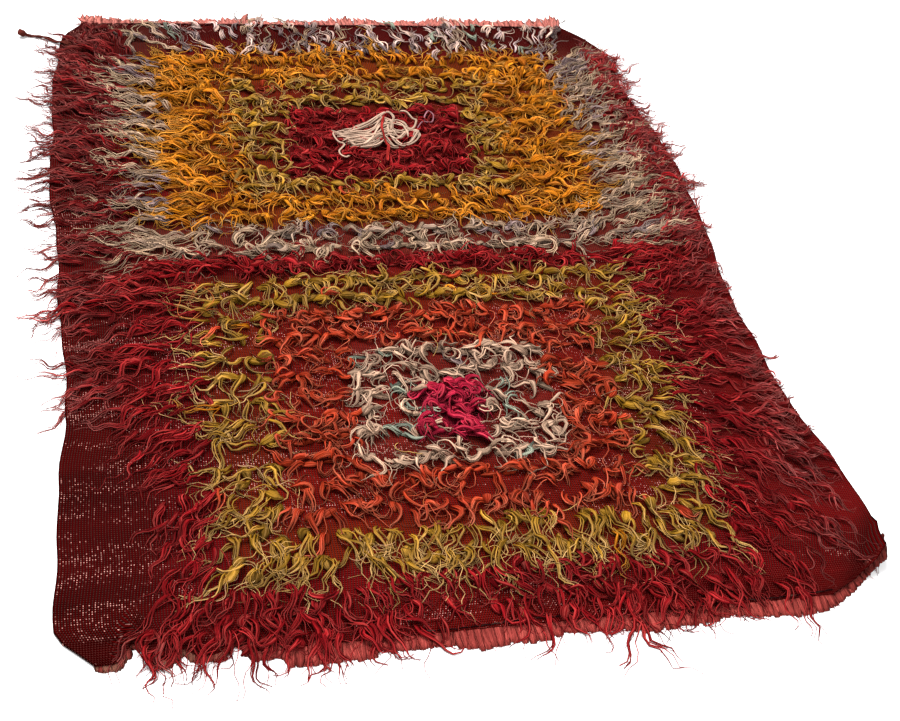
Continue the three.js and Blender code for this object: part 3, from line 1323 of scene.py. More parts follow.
FINE_TAPER = Taper(0.45, 0.34, 0.7, 0.3, 0.2)
BROAD_TAPER = Taper(0.8, 0.12, 0.5, 0.5, 0.25)
HALVED = (Dye.WINE, Dye.CRIMSON, Dye.GOLD, Dye.OLIVE)
MAT_SIDES = 5
BROAD_SIDES = 4
FINE_SIDES = 3


@dataclass
class Pile:
    """All the locks: a felted mat at each knot, and wavy or curling strands that run out of it.

    Attributes:
        plan: The rug's outline and combing.
        rng: The seeded source of chance.
        first_row: Where the nearest row of knots lies.
        row_pitch: From one row to the next.
        rows: How many there are.
        row_span: Length of a row.
        row_scatter: How far knots stray from their row, and how much more where they are combed.
        knot_pitch: From one knot to the next in a row.
        edge_margin: Bare cloth at the long edges.
        far_margin: Bare cloth at the far end.
        near_margin: Bare cloth at the near end.
        torn_margin: The least cloth between a knot and the torn near end.
        flow_scatter: How far headings differ from the combing, in radians.
        flop: Mean and scatter of the headings that flop along the row.
        follow: Share of uncombed locks that follow the combing.
        shortest: Length that no lock is cut below at the right edge.
        half_size: Half the rug's width and length, which outward order is counted by.
        middle: Where the rug's middle lies along it.
        strand_steps: Points on a strand.
        mat_steps: Points along a mat.
        layers: Batches that the locks are laid down in, outermost first.
        lock_half_width: Half the width of a lock at its knot.
        level: Height that the pile seldom passes.
        press: How far above it the highest strand can stand.
        reach: Two corners of the box that the tips seldom leave.
        knobs: Share of the knots whose mat shows on top of the pile.
        wisps: Share of the knots that have a pale wisp.
        mat_lengths: Shortest and longest mat.
        mat_widths: Least and greatest share of a mat's usual width.
        mat_cover: Share of a lock's length that its mat takes up.
        mat_painted_shade: Brightness of the mats over that of the strands, painted shade for lying under
            them.
        mat_flatness: Least and greatest height of a mat over its width.
        waves: Shortest and longest wave of a lock.
        swings: Least and greatest swing of a wave, in radians.
        curls: Least and greatest curl of an uncombed lock, in radians.
        knot_span: Length of the arch in which a strand leaves its knot.
        painted_depth_shade: Painted shade in the pile: brightness that it gains from its ground upwards.
        painted_depth_shade_least: Brightness of that painted shade at its ground.
        laid: How high the finished pile lies.
    """

    plan: RugPlan
    rng: np.random.Generator
    first_row: float = -731
    row_pitch: float = 43
    rows: int = 35
    row_span: float = 1240
    row_scatter: Span = (3.0, 8.0)
    knot_pitch: float = 14.6
    edge_margin: float = 10
    far_margin: float = 14
    near_margin: float = 18
    torn_margin: float = 12
    flow_scatter: float = 0.26
    flop: Span = (-0.15, 0.7)
    follow: float = 0.25
    shortest: float = 30
    half_size: Span = (575, 740)
    middle: float = 20
    strand_steps: int = 10
    mat_steps: int = 6
    layers: int = 80
    lock_half_width: float = 6.5
    level: float = 22
    press: float = 12
    reach: tuple[Span, Span] = ((-676, -850), (640, 812))
    knobs: float = 0.13
    wisps: float = 0.65
    mat_lengths: Span = (20, 34)
    mat_widths: Span = (0.75, 1.2)
    mat_cover: float = 0.3
    mat_painted_shade: float = 0.86
    mat_flatness: Span = (0.3, 0.45)
    waves: Span = (32, 58)
    swings: Span = (0.4, 0.8)
    curls: Span = (2.0, 7.0)
    knot_span: float = 34
    painted_depth_shade: Ramp = Ramp(3.0, 15.0, 0.34)
    painted_depth_shade_least: float = 0.66
    laid: HeightMap = field(init=False)

    def either(self, chosen: Array, one: Span, other: Span) -> Array:
        """Chance values: from one range where chosen, from the other elsewhere."""
        return np.where(chosen, self.rng.uniform(*one, chosen.size), self.rng.uniform(*other, chosen.size))

    def places(self) -> tuple[Array, Array]:
        """Ties knots in rows thinned by the plan, then in the fills.

        Returns:
            Their places across and along.
        """
        rng = self.rng
        per_row = int(self.row_span / self.knot_pitch)
        row, knot = np.meshgrid(np.arange(self.rows), np.arange(per_row), indexing="ij")
        along = self.first_row + row.ravel() * self.row_pitch
        along = np.maximum(along, self.plan.near + self.near_margin)
        across = (knot.ravel() + rng.uniform(-0.3, 0.3, row.size)) * self.knot_pitch - self.row_span / 2
        tidy, combed = self.row_scatter
        along = along + rng.normal(0, 1, row.size) * (tidy + combed * self.plan.combing(across, along))
        left, right = self.plan.edges(along)
        kept = (across > left + self.edge_margin) & (across < right - self.edge_margin)
        kept &= along < self.plan.far - self.far_margin
        kept &= rng.uniform(0, 1, row.size) < self.plan.pile_share(across, along)
        fills = [fill.places(rng) for fill in FILLS]
        across = np.concatenate([across[kept], *(fill[:, 0] for fill in fills)])
        along = np.concatenate([along[kept], *(fill[:, 1] for fill in fills)])
        return across, np.maximum(along, self.plan.near_edge(across) + self.torn_margin)

    def wools(self, across: Array, along: Array) -> Array:
        """The wool of each knot: the one that the rings give it, or by chance a stray one."""
        dyes = list(Dye)
        tied_as = dye_at(across, along)
        dye = tied_as.copy()
        for stray in STRAYS:
            drawn = self.rng.uniform(0, 1, dye.size) < stray.share
            dye[(tied_as == dyes.index(stray.among)) & drawn] = dyes.index(stray.wool)
        return dye

    def headings(self, across: Array, along: Array, comb: Array) -> Array:
        """The way each lock leaves its knot: with the combing or, by chance, to one side of its row."""
        rng = self.rng
        flow = self.plan.flow(across, along) + rng.normal(0, self.flow_scatter, across.size)
        flop = np.where(rng.uniform(0, 1, across.size) < 0.5, 0.0, math.pi)
        flop = flop + rng.normal(*self.flop, across.size)
        follows = self.follow + (1.0 - self.follow) * smooth(comb, 0.2, 0.7)
        return np.where(rng.uniform(0, 1, across.size) < follows, flow, flop)

    def lengths(self, across: Array, along: Array, heading: Array, comb: Array, dye: Array) -> Array:
        """Draws the locks' lengths.

        Args:
            across: Places of the knots across the rug.
            along: Places along it.
            heading: The way that each lock leaves.
            comb: How far it is combed.
            dye: Its wool.

        Returns:
            Lengths from the wool's style, cut to what may hang over the right edge.
        """
        rng = self.rng
        curled = wool_values(STYLES, "curled", dye)
        combed = wool_values(STYLES, "combed", dye)
        span = curled + (combed - curled) * comb[:, None]
        length = span[:, 0] + rng.uniform(0, 1, across.size) * (span[:, 1] - span[:, 0])
        _, right = self.plan.edges(along)
        room = right - across + self.plan.overhang(along) * rng.uniform(0.4, 1.3, across.size)
        room = np.where(np.cos(heading) > 0.3, room, length)
        return np.minimum(length, np.maximum(room, self.shortest))

    def knots(self) -> Knots:
        """Ties all the knots.

        Returns:
            The knots with the listed locks, in order from the outermost inwards.
        """
        across, along = self.places()
        dye = self.wools(across, along)
        comb = self.plan.combing(across, along) + self.rng.normal(0, 0.08, across.size)
        comb = np.clip(comb, 0, 1)
        heading = self.headings(across, along, comb)
        length = self.lengths(across, along, heading, comb, dye)
        tied = Knots(across, along, heading, length, comb, dye, np.ones(across.size))
        everything = tied.joined(placed_knots())
        half_across, half_along = self.half_size
        outward = np.maximum(
            np.abs(everything.across) / half_across,
            np.abs(everything.along - self.middle) / half_along,
        )
        return everything.sorted_by(-outward + self.rng.normal(0, 0.04, outward.size))

    def strand_plan(self, knots: Knots, owner: Array, length: Array, stray: Array) -> Array:
        """Draws the strands on the plan.

        A lock has a guide: its heading, plus a curl that grows along it, plus a wave. Its strands run
        beside the guide and draw together at the tip, and the stray ones curl and wave in their own
        way. Points are the running sum of steps along the heading.

        Args:
            knots: The knots.
            owner: The knot that each strand belongs to.
            length: Length of each strand.
            stray: True for the strands that leave their lock.

        Returns:
            Places on the plan, by strand, step and axis.
        """
        rng = self.rng
        way = np.linspace(0, 1, self.strand_steps)[None, :]
        run = way * length[:, None]
        loose = 1.0 - knots.comb
        turn = rng.choice([-1.0, 1.0], loose.size) * (0.25 + loose * rng.uniform(*self.curls, loose.size))
        wave = (rng.uniform(*self.waves, loose.size) * (1.0 + 0.25 * knots.comb))[owner][:, None]
        phase = rng.uniform(0, FULL_TURN, loose.size)
        swing = rng.uniform(*self.swings, loose.size)[owner][:, None] * (0.7 + 0.6 * way)
        own_turn = (turn[owner] * self.either(stray, (-0.4, 1.5), (0.88, 1.12)))[:, None]
        own_phase = (phase[owner] + rng.normal(0, 1, owner.size) * np.where(stray, 1.0, 0.2))[:, None]
        lean = rng.normal(0, 1, owner.size) * np.where(stray, 0.2 + 0.4 * loose[owner], 0.05)
        hook = rng.normal(0, 1, owner.size) * np.where(stray, 1.2, 0.4) * (0.4 + 0.6 * loose[owner])
        heading = (
            knots.heading[owner][:, None]
            + own_turn * (run / knots.length[owner][:, None]) ** 1.15
            + swing * np.sin(FULL_TURN * run / wave + own_phase)
            + hook[:, None] * smooth(way, 0.75, 1.0)
            + lean[:, None]
        )
        step = (length / (self.strand_steps - 1))[:, None]
        x = np.cumsum(np.cos(heading) * step, axis=1)
        y = np.cumsum(np.sin(heading) * step, axis=1)
        beside = (rng.uniform(-1, 1, owner.size) * self.lock_half_width)[:, None] * (1.0 - 0.85 * way)
        x = x - x[:, :1] + knots.across[owner][:, None] - np.sin(heading) * beside
        y = y - y[:, :1] + knots.along[owner][:, None] + np.cos(heading) * beside
        places = np.stack([x, y], axis=2)
        held = np.clip(places, *self.reach)
        return held + 0.2 * (places - held)

    def felt_mats(self, knots: Knots, width: Array) -> Laying:
        """Makes the felted mats: short bowed spindles that lie with the combing.

        Args:
            knots: The knots.
            width: Width of each mat.

        Returns:
            The mats, one for each knot.
        """
        rng = self.rng
        count = width.size
        way = np.linspace(0, 1, self.mat_steps)
        belly = np.sin(np.pi * way)
        lie = (knots.heading * smooth(knots.comb, 0.2, 0.6) + rng.normal(0, 0.5, count))[:, None]
        reach = rng.uniform(*self.mat_lengths, count)[:, None] * (way - 0.25)
        bow = rng.normal(0, 3.0, count)[:, None] * belly
        plan = np.stack([
            knots.across[:, None] + np.cos(lie) * reach - np.sin(lie) * bow,
            knots.along[:, None] + np.sin(lie) * reach + np.cos(lie) * bow,
        ], axis=2)
        radii = (width / 2)[:, None] * np.maximum(belly ** 0.5, 0.3)
        radii = radii * rng.uniform(*self.mat_widths, radii.shape)
        flatness = rng.uniform(*self.mat_flatness, count)
        none = np.zeros(count, bool)
        return Laying(
            np.arange(count), way * self.mat_cover, plan, radii, flatness, np.zeros(radii.shape), none, none
        )

    def locks(self, knots: Knots, arch: Array) -> Laying:
        """Makes the strands of every lock: often a pale wisp first, then a broad one and finer ones.

        Args:
            knots: The knots.
            arch: How high each lock stands where it leaves its knot.

        Returns:
            The strands.
        """
        rng = self.rng
        owner = np.repeat(np.arange(arch.size), wool_values(STYLES, "strands", knots.dye))
        comb = knots.comb[owner]
        start = np.concatenate([[True], owner[1:] != owner[:-1]])
        broad = np.concatenate([[False], start[:-1]])
        wisp = start & (rng.uniform(0, 1, owner.size) < self.wisps)
        length = knots.length[owner] * self.either(wisp, (1.0, 1.2), (0.6, 1.0))
        stray = wisp | (rng.uniform(0, 1, owner.size) < 0.22 - 0.12 * comb)
        stray &= knots.bulk[owner] <= 1.0
        plan = self.strand_plan(knots, owner, length, stray)
        way = np.linspace(0, 1, self.strand_steps)
        girth = self.either(broad, (1.6, 2.8), (0.6, 1.2)) * np.where(broad, 1.0 - 0.25 * comb, 1.0)
        radius = (wool_values(STYLES, "radius", knots.dye) * knots.bulk)[owner] * np.where(wisp, 0.5, girth)
        radii = radius[:, None] * np.where(broad[:, None], BROAD_TAPER.at(way), FINE_TAPER.at(way))
        flatness = self.either(broad, (0.26, 0.4), (0.5, 0.8))
        over_knot = np.minimum(way * length[:, None] / self.knot_span, 1.0)
        spring = rng.uniform(0, 4, owner.size) * (1 - 0.7 * comb)
        rise = arch[owner][:, None] * np.sin(np.pi * over_knot) + spring[:, None] * np.sin(np.pi * way)
        return Laying(owner, way, plan, radii, flatness, rise, wisp, broad)

    def colours(self, knots: Knots, laid: Laying) -> Array:
        """Colours mats or strands.

        Each is its wool's body mixed by chance with the deep colour and fades to the tip colour, wisps
        from near the root; locks and strands differ in brightness, and what lies deep in the pile is
        darkened by painted shade.

        Args:
            knots: The knots.
            laid: What to colour.

        Returns:
            Linear colours by strand and step.
        """
        rng = self.rng
        owner, wisp = laid.owner, laid.wisp
        body, tip, deep = (wool_colours(name, knots.dye[owner]) for name in ("body", "tip", "deep"))
        fade = wool_values(WOOLS, "fade", knots.dye[owner])
        uneven = wool_values(WOOLS, "uneven", knots.dye)
        dark = rng.uniform(0, 1, knots.dye.size)[owner] * 0.5 + rng.uniform(0, 1, owner.size) * 0.5
        body = body * (1 - dark[:, None]) + deep * dark[:, None]
        light = np.exp(rng.normal(0, 1, knots.dye.size) * uneven)[owner]
        light = light * np.exp(rng.normal(0, 0.14, owner.size))
        start = np.where(wisp, 0.5, 1.6)[:, None]
        share = ((fade * rng.uniform(0.4, 1.0, owner.size))[:, None] * laid.way ** start)[..., None]
        # Painted shade: the lower in the pile, the darker.
        painted_depth_shade = self.painted_depth_shade_least + self.painted_depth_shade.at(self.depth(laid.plan, laid.z))
        # The pile is darker along the far half of the left edge.
        light = light * np.where(wisp, 1.25, 1.0) * self.plan.left_darkening(knots.across, knots.along)[owner]
        colour = body[:, None, :] * (1 - share) + tip[:, None, :] * share
        return colour * (light[:, None] * painted_depth_shade)[..., None]

    def grow(self) -> Growth:
        """Makes every mat and strand and lays them down, mats first, then the outermost locks.

        Returns:
            The finished pile.
        """
        rng = self.rng
        knots = self.knots()
        count = knots.across.size
        width = wool_values(STYLES, "mat", knots.dye) * rng.uniform(*self.mat_widths, count)
        arch = wool_values(STYLES, "arch", knots.dye) * rng.uniform(0.6, 1.4, count)
        mats = self.felt_mats(knots, width)
        locks = self.locks(knots, arch)
        self.laid = HeightMap(self.plan)
        mats.lay(self.laid, np.ones(count, bool))
        layer = np.arange(count) * self.layers // count
        for number in range(self.layers):
            locks.lay(self.laid, layer[locks.owner] == number)
        knob = rng.uniform(0, 1, count) < self.knobs * (1.0 - knots.comb)
        mats.lay(self.laid, knob)
        mats.z = self.settled(mats)
        locks.z = self.settled(locks)
        # The mats are darkened as painted shade for lying under the strands.
        felt = mats.strands(self.mat_painted_shade * self.colours(knots, mats))
        strands = locks.strands(self.colours(knots, locks))
        felted = knob | (rng.uniform(0, 1, count) < 0.3 + 0.3 * (1.0 - knots.comb))
        return Growth(knots, felt.taken(felted), mats.owner[felted], strands, locks.owner, locks.broad)

    def depth(self, plan: Array, z: Array) -> Array:
        """Height above the ground for the painted shade, or past the rug's edge one that counts as the
        pile's top.
        """
        across, along = plan[..., 0], plan[..., 1]
        left, right = self.plan.edges(along)
        sides = np.minimum(across - left, right - across)
        ends = np.minimum(along - self.plan.near, self.plan.far - along)
        outside = -np.minimum(sides, ends)
        return z - self.plan.lift(across, along) + 16.0 * smooth(outside, -20.0, 10.0)

    def settled(self, laid: Laying) -> Array:
        """Heights pressed down: what stands over the level keeps an ever smaller part of its height."""
        lift = self.plan.lift(laid.plan[..., 0], laid.plan[..., 1])
        over = np.maximum(laid.z - lift - self.level, 0.0)
        return np.minimum(laid.z, self.level + lift) + self.press * (1.0 - np.exp(-over / self.press))

    def build(self) -> list[bpy.types.Object]:
        """Makes one piece for each wool, with the largest in a left and a right half.

        Returns:
            The pieces.
        """
        grown = self.grow()
        across = grown.knots.across
        pieces = []
        for number, dye in enumerate(Dye):
            material = WoolFinish(f"wool_{dye.value}").material()
            parts = {"": np.ones(across.size, bool)}
            if dye in HALVED:
                parts = {"_left": across < 0, "_right": across >= 0}
            for side, where in parts.items():
                mine = (grown.knots.dye == number) & where
                own = mine[grown.owner]
                groups = [
                    (grown.mats.taken(mine[grown.mat_owner]), MAT_SIDES),
                    (grown.strands.taken(own & grown.broad), BROAD_SIDES),
                    (grown.strands.taken(own & ~grown.broad), FINE_SIDES),
                ]
                filled = [group for group in groups if len(group[0].points)]
                piece = strand_piece(f"pile_{dye.value}{side}", filled, material)
                pieces.append(piece)
        return pieces


@dataclass(frozen=True)
class FringePoint:
    """A point that the fringe is rooted along.

    Attributes:
        across: Its place across the rug.
        along: Its place along it.
        heading: The way the ends lie there, in degrees.
        fullness: Their length as a share of the usual.
    """

    across: float
    along: float
    heading: float
    fullness: float


FAR_FRINGE = (
    FringePoint(-530, 750, 98, 1.2),
    FringePoint(-460, 750, 92, 0.75),
    FringePoint(-100, 750, 90, 0.9),
    FringePoint(470, 750, 86, 1.25),
)

NEAR_FRINGE = (
    FringePoint(-528, -734, -92, 0.35),
    FringePoint(-380, -734, -90, 0.5),
    FringePoint(-250, -734, -90, 1.0),
    FringePoint(440, -734, -88, 1.0),
    FringePoint(494, -734, -86, 0.7),
    FringePoint(590, -690, -72, 0.25),
    FringePoint(606, -656, -60, 0.12),
)


@dataclass
class Fringe:
    """The loose warp ends past one end of the weaving.

    Attributes:
        plan: The rug's outline.
        rng: The seeded source of chance.
        name: The piece's name, which is its node's too.
        path: The points that it is rooted along.
        tears: True where the end is torn.
        colour: Of the wool.
        ragged: How far the strips differ in length and heading.
        taper: Share of their width that the strips lose towards their ends.
        shortest: Length of the shortest ends.
        longest: Length of the longest.
        tuck: How far the roots reach under the cloth.
        steps: Points on a strand.
        webs: How many broad felted strips there are.
        threads: How many loose threads lie on them.
        worn_colour: Of its bleached ends where the end is torn.
        worn_side: Where they are, by the distance to the left.
    """

    plan: RugPlan
    rng: np.random.Generator
    name: str
    path: tuple[FringePoint, ...]
    tears: bool
    colour: Colour
    ragged: float
    taper: float
    shortest: float = 18
    longest: float = 34
    tuck: float = 6.0
    steps: int = 5
    webs: int = 320
    threads: int = 420
    worn_colour: Colour = (168, 106, 88)
    worn_side: Ramp = Ramp(330, 430)

    def roots(self, count: int) -> tuple[Array, Array, Array, Array, Array]:
        """Spreads roots along the path by chance.

        Args:
            count: How many.

        Returns:
            Their distance along the path, their place across and along, heading in degrees and fullness.
        """
        path = np.array([(p.across, p.along, p.heading, p.fullness) for p in self.path], float).T
        run = np.concatenate([[0.0], np.cumsum(np.hypot(np.diff(path[0]), np.diff(path[1])))])
        root = (np.arange(count) + self.rng.uniform(0, 1, count)) * run[-1] / count
        return root, *(np.interp(root, run, column) for column in path)

    def strands(self, count: int, widths: Span, flatness: float, stray: float, taper: float) -> Strands:
        """Makes strands: each leaves the edge outward, sways a little and lies on the floor.

        Args:
            count: How many.
            widths: The least and the greatest half-width.
            flatness: Height over width.
            stray: How far their lengths and headings differ by chance.
            taper: Share of their width that they lose.

        Returns:
            The strands.
        """
        rng = self.rng
        root, across, along, degrees, full = self.roots(count)
        tuft = 0.5 + 0.3 * np.sin(root / 37.0) + 0.12 * np.sin(root / 13.0 + 1.0)
        length = full * (self.shortest + (self.longest - self.shortest) * tuft)
        length *= np.exp(rng.normal(0, stray, count))
        way = np.linspace(0, 1, self.steps)[None, :]
        heading = np.radians(degrees) + rng.normal(0, stray, count) + 0.08 * np.sin(root / 23.0)
        heading = heading[:, None]
        ahead = way * (length + self.tuck)[:, None] - self.tuck
        sway = rng.normal(0, 16.0 * stray, count)[:, None] * np.sin(np.pi * way)
        x = across[:, None] + np.cos(heading) * ahead - np.sin(heading) * sway
        y = along[:, None] + np.sin(heading) * ahead + np.cos(heading) * sway
        y += self.torn(x[:, :1])
        radii = rng.uniform(*widths, count)[:, None] * (1.0 - taper * way ** 3)
        lift = self.plan.lift(x[:, :1], y[:, :1]) * (1.0 - 0.4 * way)
        rest = flatness * radii[:, :1] + rng.uniform(0.2, 2.4, count)[:, None] * (1.0 - way ** 2)
        points = np.stack([x, y, rest + lift], axis=2)
        return Strands(points, radii, np.full(count, flatness), self.colours(x, way, full))

    def colours(self, across: Array, way: Array, full: Array) -> Array:
        """Colours of the ends: darker where they are sparse, paler outwards, bleached where torn.

        Args:
            across: Places across the rug, by strand and step.
            way: Share of the length at each step.
            full: Fullness of each strand.

        Returns:
            Linear colours by strand and step.
        """
        rng = self.rng
        light = np.exp(rng.normal(0, 0.08, full.size)) * (0.3 + 0.7 * np.minimum(full, 1.0))
        bleach_and_sheen = rng.uniform(0, 1, full.size) < 0.7 * self.tears
        worn = self.worn_side.at(-across)[..., None] * bleach_and_sheen[:, None, None]
        colour = linear(self.colour) * (1 - worn) + linear(self.worn_colour) * worn
        return colour * light[:, None, None] * (0.75 + 0.4 * way)[..., None]

    def build(self) -> bpy.types.Object:
        """Makes the felted strips and the threads on them, as one piece."""
        groups = [
            (
                self.strands(
                    self.webs, widths=(4.5, 8.5), flatness=0.1, stray=self.ragged, taper=self.taper
                ),
                BROAD_SIDES,
            ),
            (
                self.strands(self.threads, widths=(0.7, 1.3), flatness=0.8, stray=0.16, taper=0.85),
                FINE_SIDES,
            ),
        ]
        finish = WoolFinish("wool_" + self.name, mottle=2.6, fibre_scale=0.7)
        piece = strand_piece(self.name + "_threads", groups, finish.material())
        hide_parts(self.name)
        return piece

    def torn(self, across: Array) -> Array:
        """How far the roots draw back where the end is torn."""
        return (self.plan.near_edge(across) - self.plan.near) * self.tears


@dataclass(frozen=True)
class StitchRun:
    """A run of dark stitches along an end: where it starts and stops across, and where it lies."""

    start: float
    stop: float
    along: float


STITCH_RUNS = (
    StitchRun(-500, 440, 746),
    StitchRun(-100, 90, -731),
    StitchRun(320, 486, -731),
)


@dataclass
class EndStitching:
    """The dark thread that is sewn through the cloth along both ends.

    Attributes:
        plan: The rug's outline.
        rng: The seeded source of chance.
        stitch: Length of one stitch with its gap.
        steps: Points on a stitch.
        radius: Of the thread.
        height: Of a stitch's ends above the floor.
        arc: How far its middle stands above them.
        sway: How far the row strays from a straight line.
        sway_run: Length along the row that each radian of its sway takes.
        colour: Of the thread.
    """

    plan: RugPlan
    rng: np.random.Generator
    stitch: float = 15.0
    steps: int = 6
    radius: float = 1.1
    height: float = 4.6
    arc: float = 1.6
    sway: float = 2.0
    sway_run: float = 37.0
    colour: Colour = (34, 10, 12)

    def build(self) -> bpy.types.Object:
        """Makes the stitches: short arcs over the cloth in a row that sways a little.

        Returns:
            The piece.
        """
        runs = [np.arange(run.start, run.stop, self.stitch) for run in STITCH_RUNS]
        starts = np.concatenate(runs)[:, None]
        rows = np.repeat([run.along for run in STITCH_RUNS], [len(run) for run in runs])[:, None]
        way = np.linspace(0, 1, self.steps)
        across = starts + way * self.stitch * self.rng.uniform(0.7, 0.95, starts.shape)
        along = rows + self.sway * np.sin(across / self.sway_run)
        along = along + self.rng.normal(0, 0.8, starts.shape) * way
        height = self.height + self.arc * np.sin(np.pi * way) + self.plan.lift(across, along)
        radii = np.full(across.shape, self.radius)
        colours = np.broadcast_to(linear(self.colour), (*across.shape, 3))
        strands = Strands(np.stack([across, along, height], axis=2), radii, np.ones(starts.size), colours)
        piece = strand_piece("end_stitching", [(strands, BROAD_SIDES)], WoolFinish("wool_dark").material())
        return piece


def through(points: Array, steps: int) -> Array:
    """A smooth line through points.

    It is made of cubic pieces; the slope at each point is half the way from the point before to the
    one after.

    Args:
        points: The points; one more is added past each end.
        steps: Points on the line.

    Returns:
        The line's points.
    """
    padded = np.concatenate([2 * points[:1] - points[1:2], points, 2 * points[-1:] - points[-2:-1]])
    place = np.linspace(0, len(points) - 1, steps)
    piece = np.minimum(place.astype(int), len(points) - 2)
    t = (place - piece)[:, None]
    before, start, stop, after = (padded[piece + k] for k in range(4))
    return 0.5 * (
        2 * start
        + (stop - before) * t
        + (2 * before - 5 * start + 4 * stop - after) * t ** 2
        + (3 * start - before - 3 * stop + after) * t ** 3
    )


@dataclass(frozen=True)
class Yarn:
    """A length of yarn that lies on the pile.

    Attributes:
        colour: Of the wool.
        radius: Of the yarn.
        copies: How many lie side by side.
        layer: How far it is raised above the pile by the yarns under it.
        route: The points it runs through.
        knot: How much it swells at its start.
    """

    colour: Colour
    radius: float
    copies: int
    layer: float
    route: tuple[tuple[float, float], ...]
    knot: float = 0.0


CREAM = (198, 166, 144)
LILAC = (190, 130, 140)
RED = (150, 40, 36)
BROWN = (110, 48, 40)

YARNS = (
    Yarn(CREAM, 1.8, 5, 0, (
        (-70, 370), (-55, 360), (-35, 370), (-5, 390), (15, 400), (25, 385), (25, 360), (5, 330),
        (-20, 320), (-50, 315),
    )),
    Yarn(CREAM, 1.8, 5, 1, (
        (-60, 320), (-35, 335), (-10, 345), (15, 335), (35, 315), (55, 315), (70, 330), (80, 355),
        (70, 365), (45, 360),
    )),
    Yarn(CREAM, 1.7, 5, 2, (
        (-55, 330), (-35, 320), (-15, 325), (0, 345), (15, 370), (30, 375), (40, 370),
    )),
    Yarn(CREAM, 1.7, 5, 1, ((-72, 345), (-45, 338), (-15, 338), (10, 350), (30, 365), (48, 360))),
    Yarn(CREAM, 1.7, 4, 1, ((-62, 334), (-30, 326), (0, 333), (25, 346), (50, 344), (66, 350))),
    Yarn(CREAM, 1.7, 5, 2, (
        (-75, 355), (-50, 348), (-20, 352), (5, 372), (22, 392), (36, 384), (34, 360),
    )),
    Yarn(CREAM, 1.9, 2, 3, (
        (-60, 375), (-40, 370), (-15, 385), (10, 405), (30, 420), (40, 416), (40, 400), (25, 375),
        (25, 350), (40, 320), (60, 322), (78, 340), (75, 355), (60, 365),
    )),
    Yarn(CREAM, 1.7, 3, 3, (
        (30, 385), (45, 395), (60, 385), (65, 365), (55, 345), (40, 335), (30, 350), (30, 370),
    )),
    Yarn(CREAM, 2.1, 1, 5, (
        (60, 425), (75, 420), (86, 402), (85, 385), (75, 370), (60, 375), (60, 355), (60, 330),
    )),
    Yarn(CREAM, 2.2, 1, 5, (
        (-45, 358), (-58, 370), (-75, 362), (-82, 342), (-75, 322), (-63, 316), (-75, 300),
        (-75, 286), (-65, 280), (-55, 286),
    )),
    Yarn(RED, 1.9, 2, 9, ((20, 395), (10, 360), (10, 335), (15, 310), (10, 285), (5, 260))),
    Yarn(LILAC, 1.3, 1, 2, (
        (85, 375), (100, 390), (120, 400), (126, 415), (118, 425), (109, 416), (104, 398),
    )),
    Yarn(RED, 1.3, 1, 2, ((135, 400), (115, 375), (100, 345), (80, 325))),
    Yarn(BROWN, 2.4, 2, 1, ((-645, 700), (-625, 698), (-600, 692), (-575, 676), (-550, 660)), 3.2),
)


